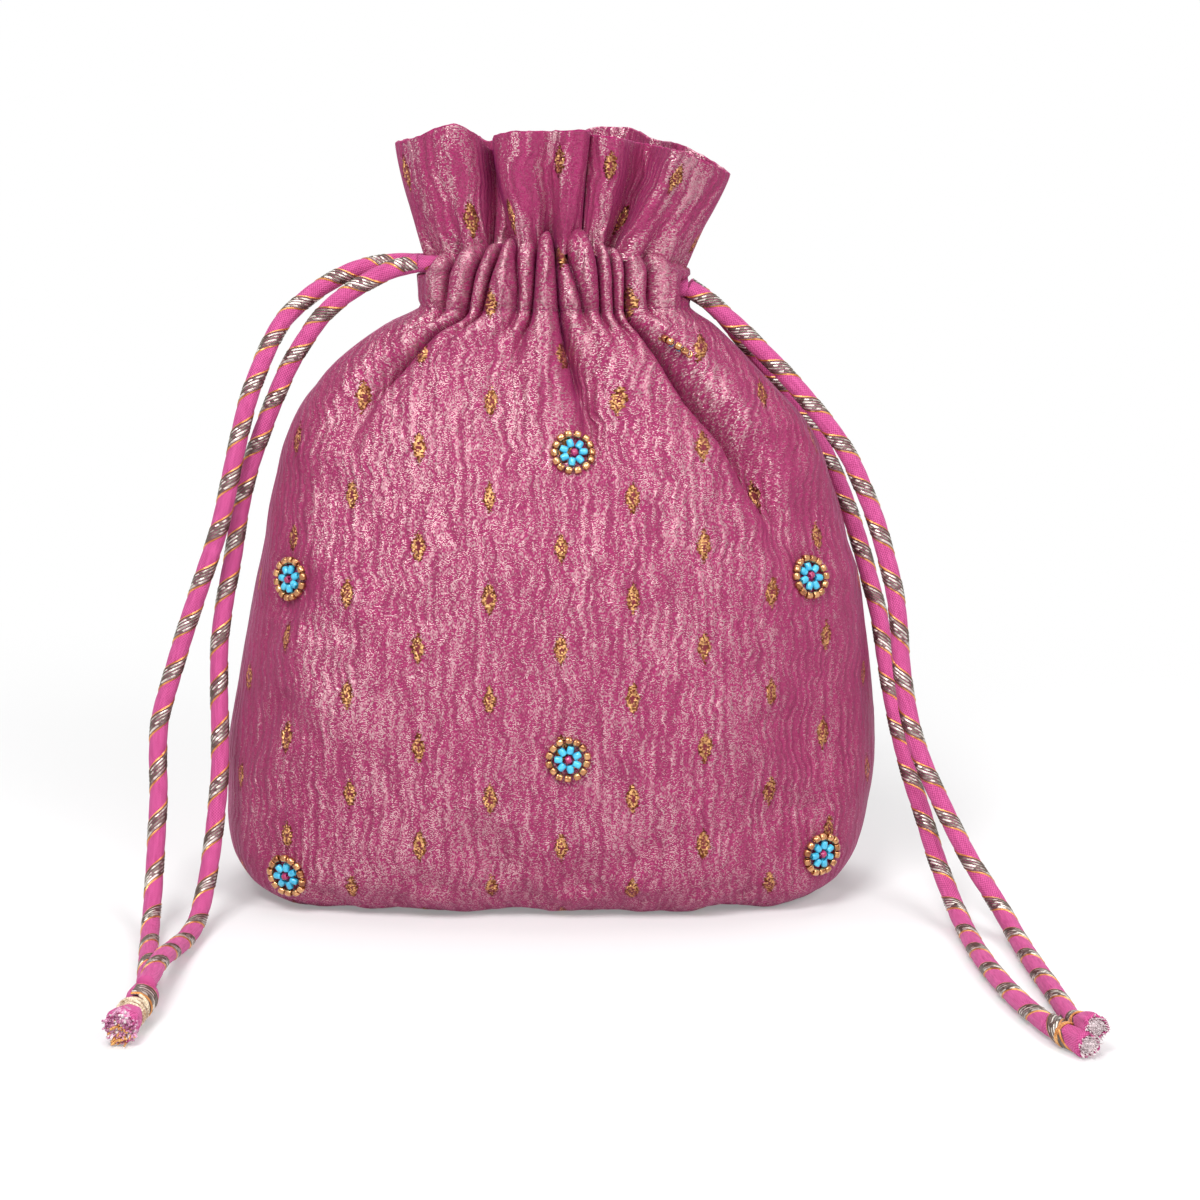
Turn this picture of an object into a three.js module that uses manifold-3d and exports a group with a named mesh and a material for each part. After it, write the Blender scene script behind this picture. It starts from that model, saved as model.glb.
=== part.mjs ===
// A drawstring potli bag that stands on its sagging base, with its gathered neck pulled shut.
// Millimetres, +Z up, the front faces -Y. The origin is on the ground under the middle of the bag.
import * as THREE from "three";
import { mergeVertices } from "three/addons/utils/BufferGeometryUtils.js";
import Module from "manifold-3d";

const wasm = await Module();
wasm.setup();

// The filled body, from the ground to the lower stitch line of the drawstring channel
const BODY_WIDTH = 182;
const BODY_DEPTH = 92;
const BODY_HEIGHT = 164;

// The gathered channel that the drawstrings run in, and the pinch just above it
const CHANNEL_WIDTH = 74;
const CHANNEL_DEPTH = 31;
const CHANNEL_HEIGHT = 16.5;
const NECK_WIDTH = 66;
const NECK_DEPTH = 23;
const NECK_RISE = 2;
const NECK_SHIFT = 1;

// The open frill above the pinch
const FRILL_WIDTH = 92;
const FRILL_DEPTH = 40;
const FRILL_HEIGHT = 27.5;
const FRILL_LEAN = 0.08; // the rim is lower towards the right
const FRILL_SHIFT = 3;
const FRILL_CLOTH = 1.8;
const MOUTH_FLOOR_WIDTH = 40;
const MOUTH_FLOOR_DEPTH = 7;

// The folds of the gathered cloth
const CHANNEL_FOLDS = 14;
const CHANNEL_FOLD_DEPTH = 0.9;
const FRILL_FOLDS = 8;
const FRILL_FOLD_DEPTH = 3.6;

// The two drawstrings
const CORD_DIAMETER = 5;
const CORD_CLEARANCE = 0.3;
const CORD_WEB = 1; // cloth between the two cords, which run one above the other in the channel
const CORD_COVER = 3.1; // cloth outside the cord in the channel
const CORD_SIDES = 8;
const CORD_STEPS = 78;
const MOUTH_SPREAD = 3.2; // each strand's distance from the middle of its mouth

// The bead flowers: a centre bead, seven petals round it and a ring of seed beads
const SEED_BEAD = 2.1;
const RING_BEADS = 14;
const PETAL_LENGTH = 2.5;
const PETAL_WIDTH = 1.8;
const PETALS = 7;
const CENTRE_BEAD = 1.9;
const THREAD = 0.7;
const CENTRE_GAP = 0.4; // between the centre bead and the petals
const RING_GAP = 0.2; // between the petals and the ring
const SEAT_GAP = 0.3;

const AROUND = 64;

const colours = {
  tissue: 0xb04a7c,
  cord: 0xd6569f,
  thread: 0xe6cfa8,
  gold: 0xb9824e,
  turquoise: 0x2fb4dc,
  ruby: 0xa01545,
};

function finish(colour, roughness, metalness) {
  return new THREE.MeshStandardMaterial({ color: colour, roughness, metalness });
}

const tissue = finish(colours.tissue, 0.55, 0.2);
const cordCotton = finish(colours.cord, 0.85, 0);
const wrapThread = finish(colours.thread, 0.7, 0);
const goldGlass = finish(colours.gold, 0.25, 0.4);
const turquoiseGlass = finish(colours.turquoise, 0.3, 0);
const rubyGlass = finish(colours.ruby, 0.2, 0);

// The body's shape: [height, reach to the left, reach to the right, reach to the front and back],
// each a share of the body's height or of half its width or depth, and then the outline's squareness.
// It sags widest low down and rests on a broad flat base.
const BODY_ROWS = [
  [0.0, 0.8, 0.76, 0.72, 3.6],
  [0.02, 0.89, 0.845, 0.84, 3.4],
  [0.05, 0.95, 0.905, 0.92, 3.1],
  [0.09, 0.985, 0.95, 0.965, 2.9],
  [0.15, 1.0, 0.98, 0.99, 2.7],
  [0.23, 1.0, 1.0, 1.0, 2.5],
  [0.35, 0.975, 0.99, 0.99, 2.3],
  [0.48, 0.935, 0.965, 0.94, 2.3],
  [0.6, 0.89, 0.93, 0.86, 2.3],
  [0.7, 0.85, 0.88, 0.75, 2.3],
  [0.8, 0.79, 0.79, 0.63, 2.3],
  [0.88, 0.7, 0.66, 0.52, 2.3],
  [0.93, 0.605, 0.57, 0.45, 2.3],
  [0.97, 0.5, 0.49, 0.39, 2.4],
];

// The channel's bulge: [height, width and depth] as shares of the channel's own sizes
const CHANNEL_ROWS = [
  [0.0, 0.96],
  [0.28, 1.0],
  [0.55, 1.02],
  [0.82, 1.0],
  [1.0, 0.94],
];

// The frill opens out from the pinch: [height, how far it has opened]
const FRILL_ROWS = [
  [0.2, 0.3],
  [0.45, 0.6],
  [0.72, 0.84],
  [1.0, 1.0],
];

const cordSpacing = CORD_DIAMETER + 2 * CORD_CLEARANCE + CORD_WEB;
const petalRadius = CENTRE_BEAD / 2 + CENTRE_GAP + PETAL_LENGTH / 2;
const ringRadius = petalRadius + PETAL_LENGTH / 2 + RING_GAP + SEED_BEAD / 2;
const neckHeight = BODY_HEIGHT + CHANNEL_HEIGHT + NECK_RISE;
const CHANNEL_SQUARENESS = 2.8;
const FRILL_SQUARENESS = 2.1;

// One ring of the bag: its height, its reach each way, its squareness and its folds
function ring(height, left, right, reach, squareness, folds, foldDepth, lean) {
  return { height, left, right, reach, squareness, folds, foldDepth, lean };
}

function bodyRing([up, left, right, reach, squareness]) {
  const halfWidth = BODY_WIDTH / 2;
  const halfDepth = BODY_DEPTH / 2;
  return ring(up * BODY_HEIGHT, left * halfWidth, right * halfWidth, reach * halfDepth, squareness, 0, 0, 0);
}

function channelRing([up, share]) {
  const halfWidth = (share * CHANNEL_WIDTH) / 2;
  const height = BODY_HEIGHT + up * CHANNEL_HEIGHT;
  const left = halfWidth - NECK_SHIFT;
  const right = halfWidth + NECK_SHIFT;
  const depth = (share * CHANNEL_DEPTH) / 2;
  return ring(height, left, right, depth, CHANNEL_SQUARENESS, CHANNEL_FOLDS, CHANNEL_FOLD_DEPTH, 0);
}

function frillRing([up, opened]) {
  const halfWidth = THREE.MathUtils.lerp(NECK_WIDTH, FRILL_WIDTH, opened) / 2;
  const shift = THREE.MathUtils.lerp(NECK_SHIFT, FRILL_SHIFT, opened);
  const depth = THREE.MathUtils.lerp(NECK_DEPTH, FRILL_DEPTH, opened) / 2;
  const height = neckHeight + up * FRILL_HEIGHT;
  const foldDepth = opened * FRILL_FOLD_DEPTH;
  return ring(height, halfWidth - shift, halfWidth + shift, depth, FRILL_SQUARENESS, FRILL_FOLDS, foldDepth, opened);
}

// The inside of the frill: the cloth's thickness in from the rim, closing down to the gathered neck
function mouthRing([up, opened]) {
  const outer = frillRing([up, opened]);
  const closing = 1 - opened;
  const floorWidth = MOUTH_FLOOR_WIDTH / 2;
  const left = THREE.MathUtils.lerp(outer.left - FRILL_CLOTH, floorWidth, closing);
  const right = THREE.MathUtils.lerp(outer.right - FRILL_CLOTH, floorWidth, closing);
  const depth = THREE.MathUtils.lerp(outer.reach - FRILL_CLOTH, MOUTH_FLOOR_DEPTH / 2, closing);
  return { ...outer, left, right, reach: depth };
}

function neckRing() {
  const halfWidth = NECK_WIDTH / 2;
  const left = halfWidth - NECK_SHIFT;
  const right = halfWidth + NECK_SHIFT;
  const foldDepth = CHANNEL_FOLD_DEPTH / 2;
  return ring(neckHeight, left, right, NECK_DEPTH / 2, FRILL_SQUARENESS, CHANNEL_FOLDS, foldDepth, 0);
}

// Directions round the bag that step evenly along the channel's outline
function evenDirections(count) {
  const fine = 4000;
  const lengths = [0];
  const place = (i) => {
    const turn = (2 * Math.PI * i) / fine;
    return [CHANNEL_WIDTH * Math.cos(turn), CHANNEL_DEPTH * Math.sin(turn)];
  };
  for (let i = 1; i <= fine; i++) {
    const [x0, y0] = place(i - 1);
    const [x1, y1] = place(i);
    lengths.push(lengths[i - 1] + Math.hypot(x1 - x0, y1 - y0));
  }
  const directions = [];
  let at = 0;
  for (let i = 0; i < count; i++) {
    const wanted = (lengths[fine] * i) / count;
    while (lengths[at] < wanted) at++;
    directions.push((2 * Math.PI * at) / fine);
  }
  return directions;
}

const directions = evenDirections(AROUND);

// A point of a ring in one direction, before its folds
function outline(r, turn) {
  const power = 2 / r.squareness;
  const across = Math.cos(turn);
  const side = across < 0 ? r.left : r.right;
  const x = Math.sign(across) * side * Math.abs(across) ** power;
  const y = Math.sign(Math.sin(turn)) * r.reach * Math.abs(Math.sin(turn)) ** power;
  return new THREE.Vector2(x, y);
}

function ringPoints(r) {
  return directions.map((turn, i) => {
    const at = outline(r, turn);
    const out = new THREE.Vector2(at.x / r.left / r.right, at.y / r.reach / r.reach).normalize();
    const fold = r.foldDepth * Math.cos((2 * Math.PI * r.folds * i) / AROUND);
    at.addScaledVector(out, fold);
    return new THREE.Vector3(at.x, at.y, r.height - r.lean * FRILL_LEAN * at.x);
  });
}

// A closed surface through rows of points, with a flat cap at each end
function loft(rows) {
  const count = rows[0].length;
  const points = rows.flat();
  const faces = [];
  for (let r = 0; r + 1 < rows.length; r++) {
    for (let i = 0; i < count; i++) {
      const next = (i + 1) % count;
      const a = r * count + i;
      const b = r * count + next;
      const c = (r + 1) * count + next;
      const d = (r + 1) * count + i;
      faces.push(a, b, c, a, c, d);
    }
  }
  for (const [first, flip] of [[0, true], [(rows.length - 1) * count, false]]) {
    const row = points.slice(first, first + count);
    const middle = points.length;
    points.push(row.reduce((sum, p) => sum.add(p), new THREE.Vector3()).divideScalar(count));
    for (let i = 0; i < count; i++) {
      const next = first + ((i + 1) % count);
      if (flip) faces.push(middle, next, first + i);
      else faces.push(middle, first + i, next);
    }
  }
  return new THREE.BufferGeometry().setFromPoints(points).setIndex(faces);
}

function solidOf(geometry) {
  const bare = geometry.clone().deleteAttribute("normal").deleteAttribute("uv");
  const merged = mergeVertices(bare, 1e-4);
  return new wasm.Manifold(
    new wasm.Mesh({
      numProp: 3,
      vertProperties: new Float32Array(merged.attributes.position.array),
      triVerts: new Uint32Array(merged.index.array),
    }),
  );
}

function geometryOf(solid) {
  const made = solid.getMesh();
  const geometry = new THREE.BufferGeometry();
  geometry.setAttribute("position", new THREE.BufferAttribute(made.vertProperties, 3));
  geometry.setIndex(new THREE.BufferAttribute(made.triVerts, 1));
  return geometry;
}

// The free strands, from the channel's mouth to the knot, as they hang and lie
const LEFT_BACK_STRAND = [
  [-45.2, 3.2, 175.2], [-53.7, 3, 173.3], [-61.5, 2.5, 169.5], [-68, 1, 164.9], [-73.1, -2, 160],
  [-76.7, -5.5, 153.8], [-79.5, -9, 147.1], [-82.1, -12, 139.8], [-84.1, -14.5, 131.9], [-86.5, -17.5, 120.7],
  [-89.7, -21, 106.1], [-94.4, -23.5, 91.9], [-99.1, -26, 78], [-103.5, -28.5, 63.7], [-106.2, -30, 54],
  [-106.8, -32, 44.4], [-106.5, -34.5, 35.1], [-106.8, -37.6, 25.3], [-107, -42, 16.3], [-106.8, -50, 8],
  [-105.9, -62.5, 3.5], [-103.8, -82, 2.8], [-101.7, -101, 2.8], [-100, -123, 2.8],
];
const LEFT_FRONT_STRAND = [
  [-42.5, -3.2, 174.2], [-49.5, -3.4, 171], [-56.3, -4, 166.8], [-62.1, -4.5, 161.7], [-66.8, -5, 155.4],
  [-71.3, -6, 148.1], [-75.2, -7, 139.6], [-79.1, -8, 129.8], [-82.7, -9.5, 119.5], [-85.2, -11.5, 108.7],
  [-87.1, -14.5, 96.1], [-89.2, -17.5, 84.6], [-90.6, -20, 73.9], [-90.8, -22.5, 61.8], [-90.4, -26, 50],
  [-90.3, -29.5, 39.5], [-91.1, -33.5, 28.2], [-92, -38.4, 18.7], [-93.2, -45, 9.8], [-94.3, -55.5, 4.4],
  [-95.6, -68.5, 3.6], [-97.2, -85.4, 5.6], [-98, -103, 8.3], [-98.6, -123, 8.4],
];
const RIGHT_FRONT_STRAND = [
  [43.6, -3.3, 165.4], [47.9, -3.6, 161.6], [52.9, -4, 157.2], [58.3, -5, 151.8], [64.3, -6.5, 145.9],
  [70, -8, 139.5], [76, -10, 132.3], [81.8, -12, 124], [85.8, -14, 115.5], [89.4, -16, 106.4],
  [92.1, -18, 97], [94.3, -20, 88.2], [95.6, -22, 78.8], [96.2, -24, 69.2], [97.3, -26, 60.4],
  [99.4, -28.5, 50], [102.9, -31.5, 40.1], [106.8, -34.5, 31.8], [110.4, -38, 24.6], [114.6, -42.5, 17],
  [119, -48, 10.6], [122.3, -56, 5.9], [124.4, -69, 3.2], [126, -89.7, 2.8], [127.7, -109.6, 2.8],
  [129.6, -136.2, 2.8],
];
const RIGHT_BACK_STRAND = [
  [43.2, 3.8, 165.2], [47.2, 5.5, 161.3], [51.4, 8, 156.2], [55.7, 10, 150.7], [60.3, 11.5, 145.1],
  [65.4, 12.5, 139], [71.4, 13, 131.3], [76.3, 13.5, 122.7], [80.4, 13.5, 114.1], [83.9, 12.5, 105.2],
  [87.2, 10, 95.3], [89.9, 7, 85.5], [92.3, 3, 76], [93.7, -2, 65.8], [95.2, -7, 56],
  [97.3, -13, 45.4], [100, -20, 34.8], [102.9, -26, 25.9], [105.4, -32.5, 17.5], [107.8, -39, 10.9],
  [109.8, -47, 6.1], [111.4, -58.5, 3.3], [112.8, -78.6, 2.8], [115.2, -99.8, 2.8], [118.6, -119.3, 2.8],
  [123.6, -139, 2.8],
];

function vectors(list) {
  return list.map(([x, y, z]) => new THREE.Vector3(x, y, z));
}

// One drawstring from its knot, round the whole channel and back out of the same mouth.
// side is -1 for the mouth on the left and 1 for the one on the right.
function drawstringRoute(side, height, backStrand, frontStrand) {
  const mouth = (side * CHANNEL_WIDTH) / 2 + NECK_SHIFT;
  const run = CHANNEL_DEPTH / 2 - CORD_COVER - CORD_DIAMETER / 2;
  const turnMiddle = NECK_SHIFT - side * (CHANNEL_WIDTH / 2 - CORD_COVER - CORD_DIAMETER / 2 - run);
  const along = (share) => THREE.MathUtils.lerp(mouth, turnMiddle, share);
  const half = [
    [mouth, MOUTH_SPREAD],
    [along(0.12), MOUTH_SPREAD + 0.12 * run],
    [along(0.3), 0.8 * run],
    [along(0.45), 0.97 * run],
    [along(0.65), run],
    [along(0.84), run],
    [turnMiddle, run],
    [turnMiddle - side * run * Math.SQRT1_2, run * Math.SQRT1_2],
  ];
  const back = half.map(([x, y]) => new THREE.Vector3(x, y, height));
  const front = half.map(([x, y]) => new THREE.Vector3(x, -y, height)).reverse();
  const turn = new THREE.Vector3(turnMiddle - side * run, 0, height);
  return [...vectors(backStrand).reverse(), ...back, turn, ...front, ...vectors(frontStrand)];
}

function cordTube(route, diameter) {
  const section = new THREE.Shape();
  for (let i = 0; i < CORD_SIDES; i++) {
    const turn = (2 * Math.PI * (i + 0.5)) / CORD_SIDES;
    const x = (diameter / 2) * Math.cos(turn);
    const y = (diameter / 2) * Math.sin(turn);
    if (i) section.lineTo(x, y);
    else section.moveTo(x, y);
  }
  const path = new THREE.CatmullRomCurve3(route, false, "centripetal");
  path.arcLengthDivisions = 2000;
  return new THREE.ExtrudeGeometry(section, { steps: CORD_STEPS, curveSegments: 1, bevelEnabled: false, extrudePath: path });
}

const channelMiddle = BODY_HEIGHT + CHANNEL_HEIGHT / 2;
const leftRoute = drawstringRoute(-1, channelMiddle + cordSpacing / 2, LEFT_BACK_STRAND, LEFT_FRONT_STRAND);
const rightRoute = drawstringRoute(1, channelMiddle - cordSpacing / 2, RIGHT_BACK_STRAND, RIGHT_FRONT_STRAND);

// The pouch: body, channel, pinch and frill are one sewn piece of cloth, with its filling
function pouchGeometry() {
  const rings = [
    ...BODY_ROWS.map(bodyRing),
    ...CHANNEL_ROWS.map(channelRing),
    neckRing(),
    ...FRILL_ROWS.map(frillRing),
    ...[...FRILL_ROWS].reverse().map(mouthRing),
  ];
  const sleeve = CORD_DIAMETER + 2 * CORD_CLEARANCE;
  return geometryOf(
    solidOf(loft(rings.map(ringPoints)))
      .subtract(solidOf(cordTube(leftRoute, sleeve)))
      .subtract(solidOf(cordTube(rightRoute, sleeve))),
  );
}

// The body's ring at any height, between the two rows beside it
function bodyRingAt(height) {
  const rings = [...BODY_ROWS.map(bodyRing), channelRing(CHANNEL_ROWS[0])];
  const above = Math.max(1, rings.findIndex((r) => r.height >= height));
  const [low, high] = [rings[above - 1], rings[above]];
  const share = (height - low.height) / (high.height - low.height);
  const mix = (key) => THREE.MathUtils.lerp(low[key], high[key], share);
  return ring(height, mix("left"), mix("right"), mix("reach"), mix("squareness"), 0, 0, 0);
}

// How far out a place is in its own ring: 1 on the cloth
function outness(at) {
  const r = bodyRingAt(at.z);
  const side = at.x < 0 ? r.left : r.right;
  const sum = Math.abs(at.x / side) ** r.squareness + Math.abs(at.y / r.reach) ** r.squareness;
  return sum ** (1 / r.squareness);
}

// The place on the body's cloth nearest to a point beside it, and the way out of the cloth there
function onCloth(at) {
  const scale = outness(at);
  const place = new THREE.Vector3(at.x / scale, at.y / scale, at.z);
  const small = 0.5;
  const slope = (x, y, z) =>
    outness(place.clone().add(new THREE.Vector3(x, y, z))) - outness(place.clone().sub(new THREE.Vector3(x, y, z)));
  const out = new THREE.Vector3(slope(small, 0, 0), slope(0, small, 0), slope(0, 0, small)).normalize();
  return { place, out };
}

// The flowers on the front: how far across their own height's half width, and up the body
const FLOWERS = [
  { name: "flower_top_middle", across: 0.088, up: 0.776 },
  { name: "flower_low_middle", across: 0.058, up: 0.287 },
  { name: "flower_left_side", across: -0.85, up: 0.56 },
  { name: "flower_left_corner", across: -0.81, up: 0.07 },
  { name: "flower_right_side", across: 0.83, up: 0.565 },
  { name: "flower_right_corner", across: 0.855, up: 0.1 },
  { name: "flower_right_shoulder", across: 0.65, up: 0.943 },
];

function flowerFrame({ across, up }) {
  const height = up * BODY_HEIGHT;
  const r = bodyRingAt(height);
  const side = across < 0 ? r.left : r.right;
  const reach = r.reach * (1 - Math.abs(across) ** r.squareness) ** (1 / r.squareness);
  const { place, out } = onCloth(new THREE.Vector3(across * side, -reach, height));
  const sideways = new THREE.Vector3(0, 0, 1).cross(out).normalize();
  const upwards = new THREE.Vector3().crossVectors(out, sideways);
  return { place, out, sideways, upwards };
}

// Beads strung in a closed circle on the cloth: the string's thickness swells at each bead.
// profile holds the bead's [share of its pitch, half width, half height] from one thread to the next.
function beadCircle(frame, radius, beads, profile, sides, lift) {
  const rows = [];
  for (let bead = 0; bead < beads; bead++) {
    for (const [share, halfWidth, halfHeight] of profile) {
      const turn = (2 * Math.PI * (bead + share)) / beads;
      const outward = frame.sideways.clone().multiplyScalar(Math.cos(turn));
      outward.addScaledVector(frame.upwards, Math.sin(turn));
      const { place, out } = onCloth(frame.place.clone().addScaledVector(outward, radius));
      const middle = place.clone().addScaledVector(out, lift);
      const wide = outward.clone().addScaledVector(out, -outward.dot(out)).normalize();
      const row = [];
      for (let i = 0; i < sides; i++) {
        const round = (2 * Math.PI * i) / sides;
        const point = middle.clone().addScaledVector(wide, halfWidth * Math.cos(round));
        row.push(point.addScaledVector(out, halfHeight * Math.sin(round)));
      }
      rows.push(row);
    }
  }
  return closedLoop(rows);
}

// A tube of rows that meets itself
function closedLoop(rows) {
  const count = rows[0].length;
  const faces = [];
  for (let r = 0; r < rows.length; r++) {
    const ahead = ((r + 1) % rows.length) * count;
    for (let i = 0; i < count; i++) {
      const next = (i + 1) % count;
      faces.push(r * count + i, ahead + next, r * count + next, r * count + i, ahead + i, ahead + next);
    }
  }
  return new THREE.BufferGeometry().setFromPoints(rows.flat()).setIndex(faces);
}

function flowerMeshes(flower) {
  const frame = flowerFrame(flower);
  const thread = THREAD / 2;
  const seed = SEED_BEAD / 2;
  const ringProfile = [
    [0, thread, thread],
    [0.2, seed, seed],
    [0.8, seed, seed],
  ];
  const petalProfile = [
    [0, thread, thread],
    [0.25, 0.42 * PETAL_LENGTH, 0.42 * PETAL_WIDTH],
    [0.5, PETAL_LENGTH / 2, PETAL_WIDTH / 2],
    [0.75, 0.42 * PETAL_LENGTH, 0.42 * PETAL_WIDTH],
  ];
  const ringLift = seed + SEAT_GAP;
  const petalLift = PETAL_WIDTH / 2 + SEAT_GAP;
  const ringOfBeads = beadCircle(frame, ringRadius, RING_BEADS, ringProfile, 5, ringLift);
  const petals = beadCircle(frame, petalRadius, PETALS, petalProfile, 5, petalLift);
  const centre = new THREE.SphereGeometry(CENTRE_BEAD / 2, 8, 5);
  const centreMesh = new THREE.Mesh(centre, rubyGlass);
  centreMesh.position.copy(frame.place).addScaledVector(frame.out, CENTRE_BEAD / 2 + SEAT_GAP);
  centreMesh.name = flower.name + "_centre";
  return [
    centreMesh,
    named(petals, turquoiseGlass, flower.name + "_petals"),
    named(ringOfBeads, goldGlass, flower.name + "_ring"),
  ];
}

function named(geometry, material, name) {
  const mesh = new THREE.Mesh(geometry, material);
  mesh.name = name;
  return mesh;
}

// The bound raw ends of a drawstring: a loft along a line on the ground,
// with rows of [share of the length, half width, lowest, highest]
function knotGeometry(start, end, profile) {
  const sides = 12;
  const along = new THREE.Vector3().subVectors(end, start);
  const across = new THREE.Vector3(along.y, -along.x, 0).normalize();
  const rows = profile.map(([share, halfWidth, low, high]) => {
    const row = [];
    for (let i = 0; i < sides; i++) {
      const turn = (2 * Math.PI * (i + 0.5)) / sides;
      const point = start.clone().addScaledVector(along, share);
      point.addScaledVector(across, -halfWidth * Math.cos(turn));
      point.z = (low + high) / 2 + ((high - low) / 2) * Math.sin(turn) / Math.cos(Math.PI / sides);
      row.push(point);
    }
    return row;
  });
  return loft(rows);
}

const LEFT_KNOT_START = new THREE.Vector3(-99.3, -123.8, 0);
const LEFT_KNOT_END = new THREE.Vector3(-101.5, -147, 0);
const LEFT_KNOT = [
  [0.0, 3.4, 0.2, 11.2],
  [0.3, 3.9, 0.1, 10.6],
  [0.55, 3.4, 0.1, 9.6],
  [0.72, 4.4, 0, 9.8],
  [0.92, 4.3, 0, 9],
  [1.0, 2.8, 0.6, 7.4],
];
const RIGHT_KNOT_START = new THREE.Vector3(127.2, -138.2, 0);
const RIGHT_KNOT_END = new THREE.Vector3(132.6, -156, 0);
const RIGHT_KNOT = [
  [0.0, 5.4, 0.2, 5.4],
  [0.25, 4.6, 0.1, 7.4],
  [0.5, 4.2, 0, 9.6],
  [0.85, 4.6, 0, 10],
  [1.0, 3.6, 0.6, 8.8],
];

const bag = new THREE.Group();
bag.add(
  named(pouchGeometry(), tissue, "pouch"),
  named(cordTube(leftRoute, CORD_DIAMETER), cordCotton, "left_drawstring"),
  named(cordTube(rightRoute, CORD_DIAMETER), cordCotton, "right_drawstring"),
  named(knotGeometry(LEFT_KNOT_START, LEFT_KNOT_END, LEFT_KNOT), wrapThread, "left_end_knot"),
  named(knotGeometry(RIGHT_KNOT_START, RIGHT_KNOT_END, RIGHT_KNOT), wrapThread, "right_end_knot"),
);
for (const flower of FLOWERS) {
  const group = new THREE.Group();
  group.add(...flowerMeshes(flower));
  bag.add(group);
}

export default bag;
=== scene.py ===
"""A filled potli bag of shot tissue cloth, pulled shut by two wound cords, with bead flowers on its front."""
import math

import bpy
import numpy as np
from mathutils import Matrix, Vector
from mathutils.bvhtree import BVHTree


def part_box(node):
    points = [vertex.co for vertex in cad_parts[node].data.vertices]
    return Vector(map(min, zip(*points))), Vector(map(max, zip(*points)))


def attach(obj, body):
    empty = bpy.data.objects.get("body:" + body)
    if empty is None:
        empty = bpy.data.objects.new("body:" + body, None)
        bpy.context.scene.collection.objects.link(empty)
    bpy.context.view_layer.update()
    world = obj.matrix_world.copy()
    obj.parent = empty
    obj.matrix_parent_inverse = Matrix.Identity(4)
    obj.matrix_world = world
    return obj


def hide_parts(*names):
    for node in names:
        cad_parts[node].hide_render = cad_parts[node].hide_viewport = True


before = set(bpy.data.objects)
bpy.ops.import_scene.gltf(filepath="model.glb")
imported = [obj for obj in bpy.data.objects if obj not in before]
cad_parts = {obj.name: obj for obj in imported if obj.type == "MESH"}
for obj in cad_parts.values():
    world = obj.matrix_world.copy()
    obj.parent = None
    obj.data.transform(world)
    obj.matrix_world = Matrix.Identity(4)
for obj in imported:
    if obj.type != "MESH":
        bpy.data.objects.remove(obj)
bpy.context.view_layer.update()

MM = 0.001
TAU = 2 * math.pi
scene = bpy.context.scene
scene.view_settings.view_transform = "Standard"

# Camera, at the photograph's place

CAMERA_PLACE = (0.0138, -0.9, 0.26)
CAMERA_DOWN = 11.24
SENSOR_WIDTH, LENS = 36, 98.25

camera = bpy.data.objects.new("camera", bpy.data.cameras.new("camera"))
scene.collection.objects.link(camera)
camera.location = CAMERA_PLACE
camera.rotation_euler = (math.radians(90 - CAMERA_DOWN), 0, 0)
camera.data.sensor_width = SENSOR_WIDTH
camera.data.lens = LENS
camera.data.clip_start, camera.data.clip_end = 0.01, 30
scene.camera = camera

# Small helpers


def smooth_step(a, b, x):
    t = np.clip((np.asarray(x, float) - a) / (b - a), 0, 1)
    return t * t * (3 - 2 * t)


def unit(vectors):
    """The same directions with a length of 1."""
    return vectors / np.maximum(np.linalg.norm(vectors, axis=-1, keepdims=True), 1e-9)


def across(side, up, turn):
    """Steps of length 1 across a line, at the angles turn."""
    turn = np.asarray(turn)[..., None]
    return side * np.cos(turn) + up * np.sin(turn)


def running(steps):
    """The sum of the steps before each place."""
    return np.concatenate([[0], np.cumsum(steps)])


def length_along(line):
    return running(np.linalg.norm(np.diff(line, axis=0), axis=1))


def sampled(values, at, where):
    """The columns of values, known at the places at, read off at where."""
    return np.stack([np.interp(where, at, column) for column in values.T], -1)


def value_noise(shape, cells, seed):
    """Smooth noise from -1 to 1 on a grid, with that many cells down and across, and no seam across."""
    down, wide = cells
    table = np.random.default_rng(seed).uniform(-1, 1, (down + 3, wide))
    y = np.linspace(0, down, shape[0])
    x = np.linspace(0, wide, shape[1], endpoint=False)
    row, column = np.floor(y).astype(int), np.floor(x).astype(int)
    y, x = smooth_step(0, 1, y - row)[:, None], smooth_step(0, 1, x - column)
    left, right = table[:, column % wide], table[:, (column + 1) % wide]
    top, low = (left[r] * (1 - x) + right[r] * x for r in (row, row + 1))
    return top * (1 - y) + low * y


def cell_corners(rows, columns, around):
    """Rows and columns of the four corners of each cell of a grid."""
    r, c = np.meshgrid(np.arange(rows - 1), np.arange(columns if around else columns - 1), indexing="ij")
    return [(r, c), (r, c + 1), (r + 1, c + 1), (r + 1, c)]


def grid_faces(rows, columns, around=True):
    """Quads of a grid of rows by columns, which closes on itself if around is true."""
    corners = cell_corners(rows, columns, around)
    return np.stack([r * columns + c % columns for r, c in corners], -1).reshape(-1, 4)


def grid_uv(u, v, around_length=None):
    """Corner UVs of a grid of u and v; where it closes, u goes on past the last column."""
    if around_length is not None:
        u, v = np.column_stack([u, u[:, 0] + around_length]), np.column_stack([v, v[:, 0]])
    corners = cell_corners(*u.shape, False)
    return np.stack([np.stack([u[corner], v[corner]], -1) for corner in corners], 2).reshape(-1, 2)


def panel_uv(u_front, u_back, v, on_front):
    """Corner UVs of a closed grid whose front and back columns are two panels sewn together at the sides."""
    corners = cell_corners(*v.shape, True)
    first = corners[0][1]
    found = []
    for r, c in corners:
        c = c % v.shape[1]
        found.append(np.stack([np.where(on_front[first], u_front[r, c], u_back[r, c]), v[r, c]], -1))
    return np.stack(found, 2).reshape(-1, 2)


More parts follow.
